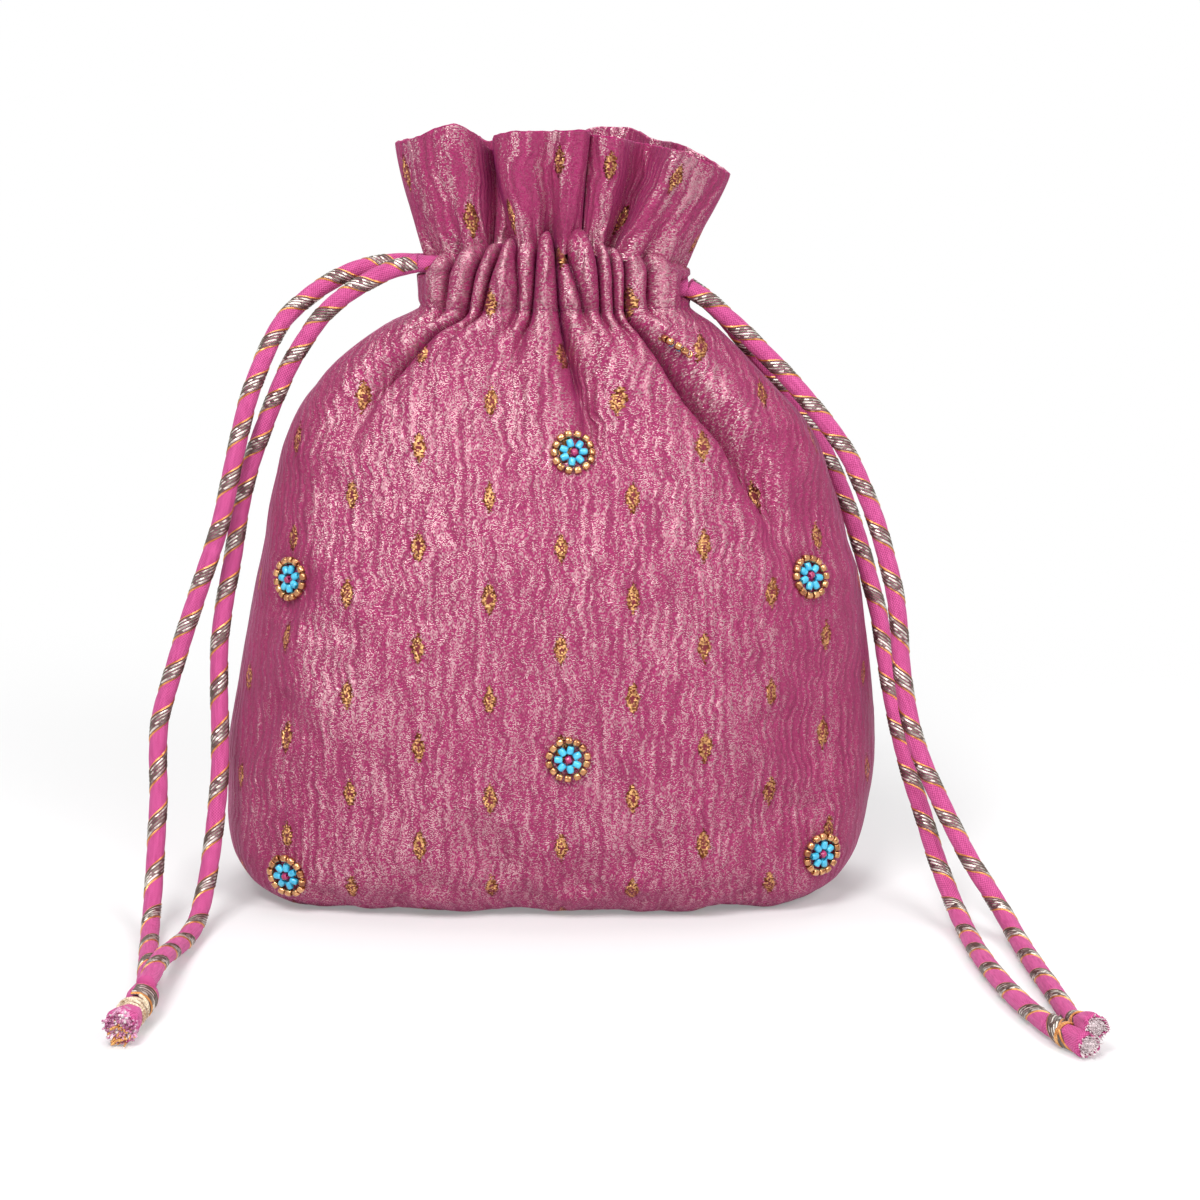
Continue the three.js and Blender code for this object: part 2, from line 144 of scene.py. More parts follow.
def closed_grid(grid, first, last):
    """Points and faces of a grid that closes on itself, with a fan of triangles to a point at each end."""
    rows, columns = grid.shape[:2]
    count, start = rows * columns, (rows - 1) * columns
    faces = grid_faces(rows, columns).tolist()
    for i in range(columns):
        following = (i + 1) % columns
        faces += [[count, following, i], [count + 1, start + i, start + following]]
    return np.vstack([grid.reshape(-1, 3), first, last]), faces


def mesh_object(name, points, faces, uv=None, smooth=True):
    """A mesh from points in millimetres; uv holds a pair in millimetres for each corner of each face."""
    data = bpy.data.meshes.new(name)
    data.from_pydata((np.asarray(points, float) * MM).tolist(), [], np.asarray(faces, object).tolist())
    if uv is not None:
        data.uv_layers.new(name="cloth").data.foreach_set("uv", (uv * MM).astype(np.float32).ravel())
    data.polygons.foreach_set("use_smooth", np.full(len(data.polygons), smooth))
    data.update()
    made = bpy.data.objects.new(name, data)
    scene.collection.objects.link(made)
    return made


def finish_piece(piece, material, solid):
    """Gives a visible piece its material, parents it to the root body and hides the CAD solid it stands for.
    """
    piece.data.materials.clear()
    piece.data.materials.append(material)
    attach(piece, "root")
    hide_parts(solid)


def joined(pieces):
    """One set of points and faces from several."""
    points, faces, base = [], [], 0
    for part_points, part_faces in pieces:
        points.append(part_points)
        faces += [[int(i) + base for i in face] for face in part_faces]
        base += len(part_points)
    return np.vstack(points), faces


# The drawstrings' routes, in millimetres, as in the CAD model

CORD = 5.0
LEFT_BACK = [
    (-45.2, 3.2, 175.2), (-53.7, 3, 173.3), (-61.5, 2.5, 169.5), (-68, 1, 164.9), (-73.1, -2, 160),
    (-76.7, -5.5, 153.8), (-79.5, -9, 147.1), (-82.1, -12, 139.8), (-84.1, -14.5, 131.9),
    (-86.5, -17.5, 120.7), (-89.7, -21, 106.1), (-94.4, -23.5, 91.9), (-99.1, -26, 78),
    (-103.5, -28.5, 63.7), (-106.2, -30, 54), (-106.8, -32, 44.4), (-106.5, -34.5, 35.1),
    (-106.8, -37.6, 25.3), (-107, -42, 16.3), (-106.8, -50, 8), (-105.9, -62.5, 3.5), (-103.8, -82, 2.8),
    (-101.7, -101, 2.8), (-100, -123, 2.8),
]
LEFT_FRONT = [
    (-42.5, -3.2, 174.2), (-49.5, -3.4, 171), (-56.3, -4, 166.8), (-62.1, -4.5, 161.7), (-66.8, -5, 155.4),
    (-71.3, -6, 148.1), (-75.2, -7, 139.6), (-79.1, -8, 129.8), (-82.7, -9.5, 119.5), (-85.2, -11.5, 108.7),
    (-87.1, -14.5, 96.1), (-89.2, -17.5, 84.6), (-90.6, -20, 73.9), (-90.8, -22.5, 61.8), (-90.4, -26, 50),
    (-90.3, -29.5, 39.5), (-91.1, -33.5, 28.2), (-92, -38.4, 18.7), (-93.2, -45, 9.8), (-94.3, -55.5, 4.4),
    (-95.6, -68.5, 3.6), (-97.2, -85.4, 5.6), (-98, -103, 8.3), (-98.6, -123, 8.4),
]
RIGHT_FRONT = [
    (43.6, -3.3, 165.4), (47.9, -3.6, 161.6), (52.9, -4, 157.2), (58.3, -5, 151.8), (64.3, -6.5, 145.9),
    (70, -8, 139.5), (76, -10, 132.3), (81.8, -12, 124), (85.8, -14, 115.5), (89.4, -16, 106.4),
    (92.1, -18, 97), (94.3, -20, 88.2), (95.6, -22, 78.8), (96.2, -24, 69.2), (97.3, -26, 60.4),
    (99.4, -28.5, 50), (102.9, -31.5, 40.1), (106.8, -34.5, 31.8), (110.4, -38, 24.6), (114.6, -42.5, 17),
    (119, -48, 10.6), (122.3, -56, 5.9), (124.4, -69, 3.2), (126, -89.7, 2.8), (127.7, -109.6, 2.8),
    (129.6, -136.2, 2.8),
]
RIGHT_BACK = [
    (43.2, 3.8, 165.2), (47.2, 5.5, 161.3), (51.4, 8, 156.2), (55.7, 10, 150.7), (60.3, 11.5, 145.1),
    (65.4, 12.5, 139), (71.4, 13, 131.3), (76.3, 13.5, 122.7), (80.4, 13.5, 114.1), (83.9, 12.5, 105.2),
    (87.2, 10, 95.3), (89.9, 7, 85.5), (92.3, 3, 76), (93.7, -2, 65.8), (95.2, -7, 56), (97.3, -13, 45.4),
    (100, -20, 34.8), (102.9, -26, 25.9), (105.4, -32.5, 17.5), (107.8, -39, 10.9), (109.8, -47, 6.1),
    (111.4, -58.5, 3.3), (112.8, -78.6, 2.8), (115.2, -99.8, 2.8), (118.6, -119.3, 2.8), (123.6, -139, 2.8),
]
CHANNEL_HALF_WIDTH, CHANNEL_HALF_DEPTH, CORD_COVER, MOUTH_SPREAD, NECK_SHIFT = 37.0, 15.5, 3.1, 3.2, 1.0
PLEAT_ROOM = 4.4  # the cord runs this much deeper than in the solid model, inside the pleats' grooves


def channel_loop(side, height):
    """A drawstring's loop in the channel: from its mouth along the back, round the far turn and in front."""
    mouth = side * CHANNEL_HALF_WIDTH + NECK_SHIFT
    run = CHANNEL_HALF_DEPTH - CORD_COVER - CORD / 2 - PLEAT_ROOM
    turn = NECK_SHIFT - side * (CHANNEL_HALF_WIDTH - CORD_COVER - CORD / 2 - run - PLEAT_ROOM)
    shares = [(0, MOUTH_SPREAD), (0.08, MOUTH_SPREAD), (0.25, 0.8 * run), (0.4, 0.97 * run),
              (0.65, run), (0.84, run), (1, run)]
    half = [(mouth + (turn - mouth) * share, y, height) for share, y in shares]
    half.append((turn - side * run * math.sqrt(0.5), run * math.sqrt(0.5), height))
    return half + [(turn - side * run, 0.0, height)] + [(x, -y, z) for x, y, z in reversed(half)]


def catmull_rom(points, spacing=0.5):
    """The centripetal Catmull-Rom curve through points, in even steps, and the length along it."""
    p = np.asarray(points, float)
    p = np.vstack([2 * p[0] - p[1], p, 2 * p[-1] - p[-2]])
    t = np.linspace(0, 1, 30, endpoint=False)[:, None]
    fine = []
    for i in range(1, len(p) - 2):
        p0, p1, p2, p3 = p[i - 1:i + 3]
        d0, d1, d2 = (max(np.linalg.norm(b - a) ** 0.5, 1e-4) for a, b in ((p0, p1), (p1, p2), (p2, p3)))
        m1 = ((p1 - p0) / d0 - (p2 - p0) / (d0 + d1) + (p2 - p1) / d1) * d1
        m2 = ((p2 - p1) / d1 - (p3 - p1) / (d1 + d2) + (p3 - p2) / d2) * d1
        fine.append(p1 * (2 * t**3 - 3 * t**2 + 1) + m1 * (t**3 - 2 * t**2 + t)
                    + p2 * (3 * t**2 - 2 * t**3) + m2 * (t**3 - t**2))
    fine = np.vstack(fine + [p[-2][None]])
    length = length_along(fine)
    even = np.linspace(0, length[-1], max(2, int(round(length[-1] / spacing)) + 1))
    return sampled(fine, length, even), even


def frames_along(line):
    """Directions along a line, and two across it that turn as little as they can."""
    along = unit(np.gradient(line, axis=0))
    side = np.zeros_like(line)
    side[0] = unit(np.cross(along[0], (0.0, 0.0, 1.0)))
    for i in range(1, len(line)):
        side[i] = unit(side[i - 1] - along[i] * (side[i - 1] @ along[i]))
    return along, side, np.cross(along, side)


PITCH = 13.5
END_PITCH = 0.3  # the winding opens out towards the raw ends
RIBBON = 6.6  # the ribbon's width
THREADS = 6
CORE_RADIUS, CORE_SWELL = 2.34, 0.14
RIBBON_RADIUS, RIBBON_EDGE, RIDGE = 2.28, 2.15, 0.3
STEPS_A_TURN = 30


def turns_along(at):
    """How many times the ribbon has gone round at each place along a strand."""
    pitch = PITCH * (1 + END_PITCH * smooth_step(0.5, 0.95, at / at[-1]))
    return running(np.diff(at) / ((pitch[1:] + pitch[:-1]) / 2))


def strand(name, points, hand, phase, spacing=0.75, sides=28):
    """A strand's cotton core, which swells a little between the ribbon's turns, and its centreline."""
    line, at = catmull_rom(points, spacing)
    frames = frames_along(line)
    turn = np.linspace(0, TAU, sides, endpoint=False)
    wound = (turns_along(at)[:, None] - hand * turn / TAU + phase) % 1.0
    share = RIBBON / PITCH
    bare = np.clip((wound - share) / (1 - share), 0, 1)
    radius = CORE_RADIUS + CORE_SWELL * np.sin(math.pi * bare) ** 0.6
    seed = sum((i + 1) * ord(letter) for i, letter in enumerate(name))
    radius += 0.025 * value_noise(radius.shape, (len(line) // 3, 9), seed)
    skin = line[:, None] + radius[..., None] * across(frames[1][:, None], frames[2][:, None], turn)
    u, v = np.broadcast_arrays(turn * CORD / 2, at[:, None])
    uv = np.vstack([grid_uv(u, v, math.pi * CORD), np.zeros((sides * 6, 2))])
    return mesh_object(name, *closed_grid(skin, line[0], line[-1]), uv), line, at, frames


def ribbon(name, line, at, frames, hand, phase, start=1.5, stop=1.5, more_radius=0.0, turns_at=None):
    """The metal thread ribbon wound round a strand: its threads side by side, in one ridged strip."""
    turns_at = turns_along(at) if turns_at is None else turns_at
    first, last = np.interp([start, at[-1] - stop], at, turns_at)
    turns = (first + np.arange(int((last - first) * STEPS_A_TURN)) / STEPS_A_TURN)[:, None]
    columns = THREADS * 4 + 3
    edge = np.linspace(0, 1, columns)
    where = np.clip(np.interp(turns, turns_at, at) + (edge - 0.5) * RIBBON, 0.1, at[-1] - 0.1)
    thread = (edge - 1 / (columns - 1)) / (1 - 2 / (columns - 1)) * THREADS
    radius = RIBBON_RADIUS + RIDGE * np.abs(np.sin(math.pi * np.clip(thread, 0, THREADS))) ** 0.5
    radius[0] = radius[-1] = RIBBON_EDGE
    radius = radius + 0.03 * np.sin(turns * TAU * 14 + edge * 9) + more_radius
    centre, side, up = (sampled(values, at, where) for values in (line, *frames[1:]))
    angle = TAU * hand * (turns - RIBBON / 2 / PITCH + phase)
    points = centre + radius[..., None] * across(side, up, angle)
    faces = grid_faces(*where.shape, around=False)
    uv = grid_uv(*np.broadcast_arrays(edge * RIBBON, turns * 21.0))
    if hand < 0:
        faces, uv = faces[:, ::-1], uv.reshape(-1, 4, 2)[:, ::-1].reshape(-1, 2)
    return mesh_object(name, points.reshape(-1, 3), faces, uv)


# Shader nodes: a value takes plain arithmetic, and each operation adds a maths node


class Value:
    """The output of a shader node."""

    def __init__(self, socket):
        self.socket = socket

    def __add__(self, other):
        return maths("ADD", self, other)

    def __sub__(self, other):
        return maths("SUBTRACT", self, other)

    def __rsub__(self, other):
        return maths("SUBTRACT", other, self)

    def __mul__(self, other):
        return maths("MULTIPLY", self, other)

    def __pow__(self, other):
        return maths("POWER", self, other)

    def __abs__(self):
        return maths("ABSOLUTE", self)


def put(socket, value):
    """Sets a socket to a number or a colour, or links it to a value."""
    if isinstance(value, Value):
        socket.id_data.links.new(value.socket, socket)
    elif socket.type == "RGBA":
        socket.default_value = (*value, 1)
    else:
        socket.default_value = value


def node(kind, *values, tree=None, named=None, output=0, **settings):
    """Adds a shader node, fills its inputs in order (None leaves one out) or by name, and gives an output."""
    tree = tree or next(value.socket.id_data for value in values if isinstance(value, Value))
    made = tree.nodes.new("ShaderNode" + kind)
    for key, setting in settings.items():
        setattr(made, key, setting)
    inputs = [(i, value) for i, value in enumerate(values) if value is not None]
    for key, value in inputs + list((named or {}).items()):
        put(made.inputs[key], value)
    return Value(made.outputs[output]) if made.outputs else None


def maths(operation, *values):
    return node("Math", *values, operation=operation)


def floor_of(value):
    return maths("FLOOR", value)


def off_middle(value):
    """How far a value is from the middle between two whole numbers."""
    return abs(maths("FRACT", value) - 0.5)


def parts(vector):
    """The three numbers of a vector or a colour."""
    return [Value(socket) for socket in node("SeparateXYZ", vector).socket.node.outputs]


def random_at(*place):
    """A random number and a random colour at a place of three numbers."""
    found = node("TexWhiteNoise", node("CombineXYZ", *place), noise_dimensions="3D", output="Value")
    return found, Value(found.socket.node.outputs["Color"])


def noise(vector, scale, detail=2.0, rough=0.5):
    named = {"Scale": scale, "Detail": detail, "Roughness": rough}
    return node("TexNoise", vector, named=named, output=0)


def streaks(u, v, detail=2.0, rough=0.5):
    """Noise over the cloth's coordinates, stretched by how much each is scaled."""
    return noise(node("CombineXYZ", u, v), 1.0, detail, rough)


def ramp(value, low, high, to_low=0.0, to_high=1.0):
    return node("MapRange", value, low, high, to_low, to_high, interpolation_type="SMOOTHSTEP")


def mix(factor, a, b):
    return node("Mix", factor, None, None, None, None, None, a, b, data_type="RGBA", output=2)


def bump(height, distance, strength):
    named = {"Strength": strength, "Distance": distance, "Height": height}
    return node("Bump", tree=height.socket.id_data, named=named)


def tilted(normal, *tilts):
    """A normal tilted at random: each tilt is a random colour and how much it counts."""
    for colour, much in tilts:
        tilt = node("VectorMath", colour, (0.5, 0.5, 0.5), operation="SUBTRACT")
        tilt = node("VectorMath", tilt, None, None, much, operation="SCALE")
        normal = node("VectorMath", normal, tilt, operation="ADD")
    return node("VectorMath", normal, operation="NORMALIZE")


def emptied_tree(owner):
    owner.use_nodes = True
    owner.node_tree.nodes.clear()
    return owner.node_tree


def place_on(tree, kind="Object"):
    return node("TexCoord", tree=tree, output=kind)


def material(name, looks, *details):
    """A material whose shader takes the socket values that looks gives; an underscore stands for a space."""
    made = bpy.data.materials.new(name)
    tree = emptied_tree(made)
    named = {key.replace("_", " "): value for key, value in looks(tree, *details).items()}
    node("OutputMaterial", node("BsdfPrincipled", tree=tree, named=named))
    return made


# Materials

BUTTI_ACROSS, BUTTI_UP, BUTTI_BASE = 19.1, 26.9, 102.7
BUTTI_HALF_WIDTH, BUTTI_HALF_HEIGHT, BUTTI_ROUND = 1.95, 4.2, 1.25
BUTTI_ROW, BUTTI_CELL = 0.38, 0.42
COLUMN_SHIFT = 3.4
BACK_PANEL_AT = 400.0
ROW_HEIGHT, CELL_LENGTH, RIPPLE = 0.28, 0.33, 2.6
FRILL_FROM, CHANNEL_FROM, SHOULDER_SHEEN_FROM = (0.18, 0.19), (0.155, 0.165), (0.115, 0.145)
WARP_DARK, WARP_LIGHT = (0.215, 0.008, 0.068), (0.34, 0.015, 0.112)
WEFT_DARK, WEFT_LIGHT = (0.46, 0.17, 0.24), (0.72, 0.59, 0.56)
GOLD_DARK, GOLD_LIGHT, GOLD_GAP = (0.13, 0.035, 0.011), (0.8, 0.44, 0.18), (0.2, 0.035, 0.04)
COTTON_DARK, COTTON_LIGHT = (0.3, 0.018, 0.11), (0.7, 0.12, 0.345)
SILVER_DARK, SILVER_LIGHT = (0.16, 0.12, 0.1), (0.72, 0.67, 0.6)
COPPER_DARK, COPPER_LIGHT, THREAD_GAP = (0.5, 0.17, 0.04), (0.78, 0.36, 0.12), (0.085, 0.04, 0.03)


def cloth_place(tree):
    """The cloth's own coordinates, in millimetres."""
    u, v, _ = parts(node("UVMap", tree=tree, uv_map="cloth"))
    return u * 1000, v * 1000


def tissue(tree):
    """Shot tissue: magenta warp, glittering pale metal weft, crinkles and woven gold lozenges; painted sheen
    and painted side shade decide in part where the weft glints.
    """
    u, v = cloth_place(tree)
    u_wavy = u + streaks(u * 0.05, v * 0.09, 3, 0.6) * 9.0
    grain = streaks(u_wavy * 0.5, v * 0.06)
    fine_grain = streaks(u_wavy * 1.5, v * 0.16)
    wide_grain = streaks(u_wavy * 0.17, v * 0.035, 1)
    patch = streaks(u * 0.04, v * 0.028)
    ripple = maths("SINE", u_wavy * (TAU / RIPPLE))

    # each weft thread is a row of short cells, and each cell glints or not
    row_place = v * (1 / ROW_HEIGHT)
    row = floor_of(row_place)
    cell_place = u * (1 / CELL_LENGTH) + random_at(0.5, row, 3.0)[0] * 7.0
    chance, tint = random_at(floor_of(cell_place), row, 1.0)
    thread = ramp(off_middle(row_place), 0.42, 0.14)
    dash = ramp(off_middle(cell_place), 0.52, 0.3, 0.35, 1.0)

    # how much of the weft glints: at random, in streaks and patches, with painted light on top of that. Cloth
    # that faces sideways gets fewer glints (painted side shade), and the channel and the upper body under it
    # get more (painted sheen).
    high_up = parts(place_on(tree))[2]
    # painted side shade: the more the cloth faces left or right, the fewer glints it gets
    painted_side_shade = ramp(abs(parts(place_on(tree, "Normal"))[0]), 0.3, 1.0)
    in_frill, above_body = ramp(high_up, *FRILL_FROM), ramp(high_up, *CHANNEL_FROM)
    # painted sheen: a few more glints on the upper body, in a band just below the channel
    painted_shoulder_sheen = ramp(high_up, *SHOULDER_SHEEN_FROM) - above_body
    weft_show_and_painted_light = (grain - 0.5) * 1.3 + (fine_grain - 0.5) * 0.6 + (patch - 0.5) * 0.6 + 0.3
    # painted sheen: the channel band, between the body and the frill, gets more glints
    weft_show_and_painted_light = weft_show_and_painted_light + ripple * 0.12 + (above_body - in_frill) * 0.3 + painted_shoulder_sheen * 0.08 - painted_side_shade * 0.42
    weft_show_and_painted_light = weft_show_and_painted_light + ((wide_grain - 0.5) * 2.2 + grain - 0.55) * in_frill * 1.6
    bright = ramp(chance * 0.75 + weft_show_and_painted_light, 0.56, 1.12)
    glint = (bright * 0.84 + 0.16) * (thread * 0.85 + 0.15) * dash

    warp = mix(ramp(parts(tint)[2] * 0.5 + grain, 0.4, 1.0), WARP_DARK, WARP_LIGHT)
    colour = mix(glint, warp, mix(chance, WEFT_DARK, WEFT_LIGHT))
    metal = ramp(glint, 0.1, 0.7) * 0.92
    rough = glint * -0.16 + 0.5
    height = ripple * 0.7 + grain * 3.0 + fine_grain * 1.2 + thread * (chance * 0.5 + 0.5) * 0.3

    # the gold lozenges stand in columns, and every second column is half a step lower
    columns = u * (1 / BUTTI_ACROSS)
    column = floor_of(columns + 0.5)
    levels = (v - BUTTI_BASE) * (1 / BUTTI_UP) - maths("MODULO", column + 100, 2) * 0.5
    level = floor_of(levels + 0.5)
    gold_row = floor_of(v * (1 / BUTTI_ROW))
    gold_cell = floor_of(u * (1 / BUTTI_CELL) + gold_row * 0.37)
    gold_chance, gold_tint = random_at(gold_cell, gold_row, 5.0)
    far = (abs(columns - column) * (BUTTI_ACROSS / BUTTI_HALF_WIDTH)) ** BUTTI_ROUND
    far = far + (abs(levels - level) * (BUTTI_UP / BUTTI_HALF_HEIGHT)) ** BUTTI_ROUND
    far = far + (gold_chance - 0.5) * 0.5 + (random_at(2.0, gold_row, column)[0] - 0.5) * 0.3
    far = far + (random_at(column, level, 9.0)[0] - 0.5) * 0.15
    inside, hollow = ramp(far, 1.04, 0.9), ramp(far, 0.16, 0.34)
    gold = mix(ramp(gold_chance, 0.15, 1.0), GOLD_DARK, GOLD_LIGHT)
    normal = bump(height + inside * (gold_chance + 1.0), 0.00016, 1.0)
    return dict(Base_Color=mix(inside, colour, mix(hollow, GOLD_GAP, gold)),
                Metallic=metal + (hollow * 0.8 - metal) * inside, Roughness=rough + (0.34 - rough) * inside,
                Normal=tilted(normal, (tint, glint * 0.65), (gold_tint, inside * 0.9)),
                Sheen_Weight=0.18, Sheen_Roughness=0.4, Sheen_Tint=(0.7, 0.03, 0.4),
                Specular_IOR_Level=0.25, Specular_Tint=(0.75, 0.12, 0.45))


def cotton(tree):
    """The cord's pink cotton cover: a fine weave that slants with the winding, and small slubs."""
    u, v = cloth_place(tree)
    weave = (maths("SINE", u * 6.2 + v * 8.6) + maths("SINE", v * 6.6 - u * 8.4)) * 0.25 + 0.5
    slub = streaks(u * 0.8, v * 0.35, 3)
    rib = streaks(u * 2.0, v * 0.14)
    fuzz = noise(node("CombineXYZ", u, v), 6) + rib * 2.0
    shade = ramp(weave * 0.4 + slub * 0.3 + fuzz * 0.2, 0.3, 0.95)
    return dict(Base_Color=mix(shade, COTTON_DARK, COTTON_LIGHT), Roughness=0.82,
                Normal=bump(rib * 2.5 + weave, 0.0001, 0.9), Sheen_Weight=0.25, Sheen_Roughness=0.5,
                Sheen_Tint=(1.0, 0.5, 0.8), Specular_IOR_Level=0.25)


def metal_threads(tree):
    """Silver grey metal threads with brown gaps and copper edge threads."""
    u, v = cloth_place(tree)
    place = u * (THREADS / RIBBON)
    twist = floor_of(v * 0.8 + maths("FRACT", place))
    chance, tint = random_at(floor_of(place), twist, 2.0)
    edge = maths("MAXIMUM", ramp(u, 0.95, 0.8), ramp(u, RIBBON - 0.95, RIBBON - 0.8))
    gap = ramp(off_middle(place), 0.2, 0.36)
    silver = mix(ramp(chance, 0.2, 0.9), SILVER_DARK, SILVER_LIGHT)
    colour = mix(edge, silver, mix(chance, COPPER_DARK, COPPER_LIGHT))
    return dict(Base_Color=mix(gap, colour, THREAD_GAP), Metallic=(1.0 - gap) * 0.75, Roughness=0.36,
                Normal=tilted(bump(chance - gap * 2.0, 0.00008, 0.7), (tint, 0.4)))


def glass(tree, low, high, metallic, roughness, transmission=0.0):
    """Glass beads, each a little different in tone."""
    place = place_on(tree)
    cell = node("TexVoronoi", place, named={"Scale": 520}, output="Color")
    streak = noise(place, 900)
    return dict(Base_Color=mix(parts(cell)[0] + (streak - 0.5) * 0.6, low, high), Metallic=metallic,
                Roughness=ramp(streak, 0.2, 0.8, roughness * 0.7, roughness * 1.4),
                Normal=bump(noise(place, 1400), 0.00003, 0.5), Coat_Weight=0.6, Coat_Roughness=0.08,
                Transmission_Weight=transmission, IOR=1.5)


def yarn(tree, low, high, roughness=0.75):
    """Spun thread with a soft change of tone."""
    place = place_on(tree)
    fibres = noise(place, 2600, 3)
    shade = ramp((noise(place, 300) - 0.5) * 0.9 + fibres, 0.25, 0.75)
    return dict(Base_Color=mix(shade, low, high), Roughness=roughness, Normal=bump(fibres, 0.00006, 0.8),
                Sheen_Weight=0.2, Specular_IOR_Level=0.3)


shot_tissue = material("shot_tissue", tissue)
pink_cotton = material("pink_cotton", cotton)
metal_ribbon = material("metal_ribbon", metal_threads)
gold_glass = material("gold_glass", glass, (0.3, 0.1, 0.03), (0.78, 0.42, 0.18), 0.85, 0.16)
turquoise_glass = material("turquoise_glass", glass, (0.03, 0.42, 0.68), (0.08, 0.58, 0.82), 0.0, 0.28)
ruby_glass = material("ruby_glass", glass, (0.4, 0.01, 0.1), (0.6, 0.03, 0.2), 0.0, 0.15, 0.25)
cream_thread = material("cream_thread", yarn, (0.34, 0.2, 0.1), (0.9, 0.78, 0.58), 0.55)
filler_thread = material("filler_thread", yarn, (0.5, 0.4, 0.42), (0.9, 0.78, 0.8))
orange_thread = material("orange_thread", yarn, (0.42, 0.14, 0.03), (0.85, 0.45, 0.14), 0.45)
pink_fluff = material("pink_fluff", yarn, (0.36, 0.08, 0.2), (0.8, 0.42, 0.6), 0.85)
# the stitching thread is darker than the cloth: partly its own colour, partly painted shade along the stitch
# lines
stitch_thread_painted_shade = material("stitch_thread_painted_shade", yarn, (0.16, 0.01, 0.06), (0.34, 0.03, 0.14), 0.6)

# The cords

# side and height in the channel, then each strand's place, its side of the mouth, points and winding start
DRAWSTRINGS = {
    "left": (-1, 175.55, (("back", 1, LEFT_BACK, 0.1), ("front", -1, LEFT_FRONT, 0.55))),
    "right": (1, 168.95, (("back", 1, RIGHT_BACK, 0.3), ("front", -1, RIGHT_FRONT, 0.8))),
}
for name, (side, level, halves) in DRAWSTRINGS.items():
    solid = name + "_drawstring"
    inner = strand(name + "_cord_in_channel", channel_loop(side, level), -side, 0.0, spacing=2.0, sides=16)
    finish_piece(inner[0], pink_cotton, solid)
    for place, y_side, points, phase in halves:
        exit_point = (side * CHANNEL_HALF_WIDTH + NECK_SHIFT, y_side * MOUTH_SPREAD, level)
        cord, line, at, frames = strand(f"{name}_{place}_cord", [exit_point] + points, -side, phase)
        finish_piece(cord, pink_cotton, solid)
        wound = ribbon(f"{name}_{place}_ribbon", line, at, frames, -side, phase)
        finish_piece(wound, metal_ribbon, solid)
        path = (line[::4] * MM).tolist() + [(line[-1] * MM).tolist()]
        tuple(line[0] * MM)


# The pouch's shape: rows of (height, reach to the left, right, and front and back, squareness)

BODY_HEIGHT, HALF_WIDTH, HALF_DEPTH = 164.0, 91.0, 46.0
BODY_ROWS = [
    (0.0, 0.8, 0.76, 0.72, 3.6), (0.02, 0.89, 0.845, 0.84, 3.4), (0.05, 0.95, 0.905, 0.92, 3.1),
    (0.09, 0.985, 0.95, 0.965, 2.9), (0.15, 1.0, 0.98, 0.99, 2.7), (0.23, 1.0, 1.0, 1.0, 2.5),
    (0.35, 0.975, 0.99, 0.99, 2.3), (0.48, 0.935, 0.965, 0.94, 2.3), (0.6, 0.89, 0.93, 0.86, 2.3),
    (0.7, 0.85, 0.88, 0.75, 2.3), (0.8, 0.79, 0.79, 0.63, 2.3), (0.88, 0.7, 0.66, 0.52, 2.3),
    (0.93, 0.605, 0.57, 0.45, 2.3), (0.97, 0.5, 0.49, 0.39, 2.4),
]
rows = [(z * BODY_HEIGHT, left * HALF_WIDTH, right * HALF_WIDTH, reach * HALF_DEPTH, n)
        for z, left, right, reach, n in [(0.0, 0.74, 0.70, 0.64, 3.4)] + BODY_ROWS]
rows += [(164.0, 36.6, 38.6, 16.2, 2.5), (168.6, 36.2, 38.2, 15.8, 2.4), (173.1, 36.2, 38.2, 15.6, 2.4),
         (177.5, 35.6, 37.6, 15.0, 2.4), (180.8, 34.6, 36.4, 13.8, 2.3), (182.6, 32.6, 34.4, 11.8, 2.2),
         (182.6, 29.0, 31.0, 8.6, 2.1), (180.6, 24.5, 26.5, 6.0, 2.0)]
rows = np.array(rows)


def spline(t, values, at):
    """A smooth curve through values at t that doesn't overshoot between them."""
    t, values = np.asarray(t, float), np.asarray(values, float)
    h = np.diff(t)
    slope = np.diff(values) / h
    m = np.zeros(len(t))
    m[0], m[-1] = slope[0], slope[-1]
    for i in range(1, len(t) - 1):
        if slope[i - 1] * slope[i] > 0:
            w1, w2 = 2 * h[i] + h[i - 1], h[i] + 2 * h[i - 1]
            m[i] = (w1 + w2) / (w1 / slope[i - 1] + w2 / slope[i])
    k = np.clip(np.searchsorted(t, at, side="right") - 1, 0, len(t) - 2)
    x = (at - t[k]) / h[k]
    return (values[k] * (2 * x**3 - 3 * x**2 + 1) + h[k] * m[k] * (x**3 - 2 * x**2 + x)
            + values[k + 1] * (3 * x**2 - 2 * x**3) + h[k] * m[k + 1] * (x**3 - x**2))


def even_turns(squareness):
    """The columns' angles, at even steps round the widest outline, and their shares of the half width."""
    turn = np.linspace(0, TAU, 8001)
    x = np.sign(np.cos(turn)) * HALF_WIDTH * np.abs(np.cos(turn)) ** (2 / squareness)
    y = np.sign(np.sin(turn)) * (HALF_DEPTH - 2) * np.abs(np.sin(turn)) ** (2 / squareness)
    length = running(np.hypot(np.diff(x), np.diff(y)))
    found = np.interp(np.linspace(0, length[-1], AROUND, endpoint=False), length, turn)
    return np.sin(found), np.sign(np.cos(found)) * np.abs(np.cos(found)) ** (2 / squareness)


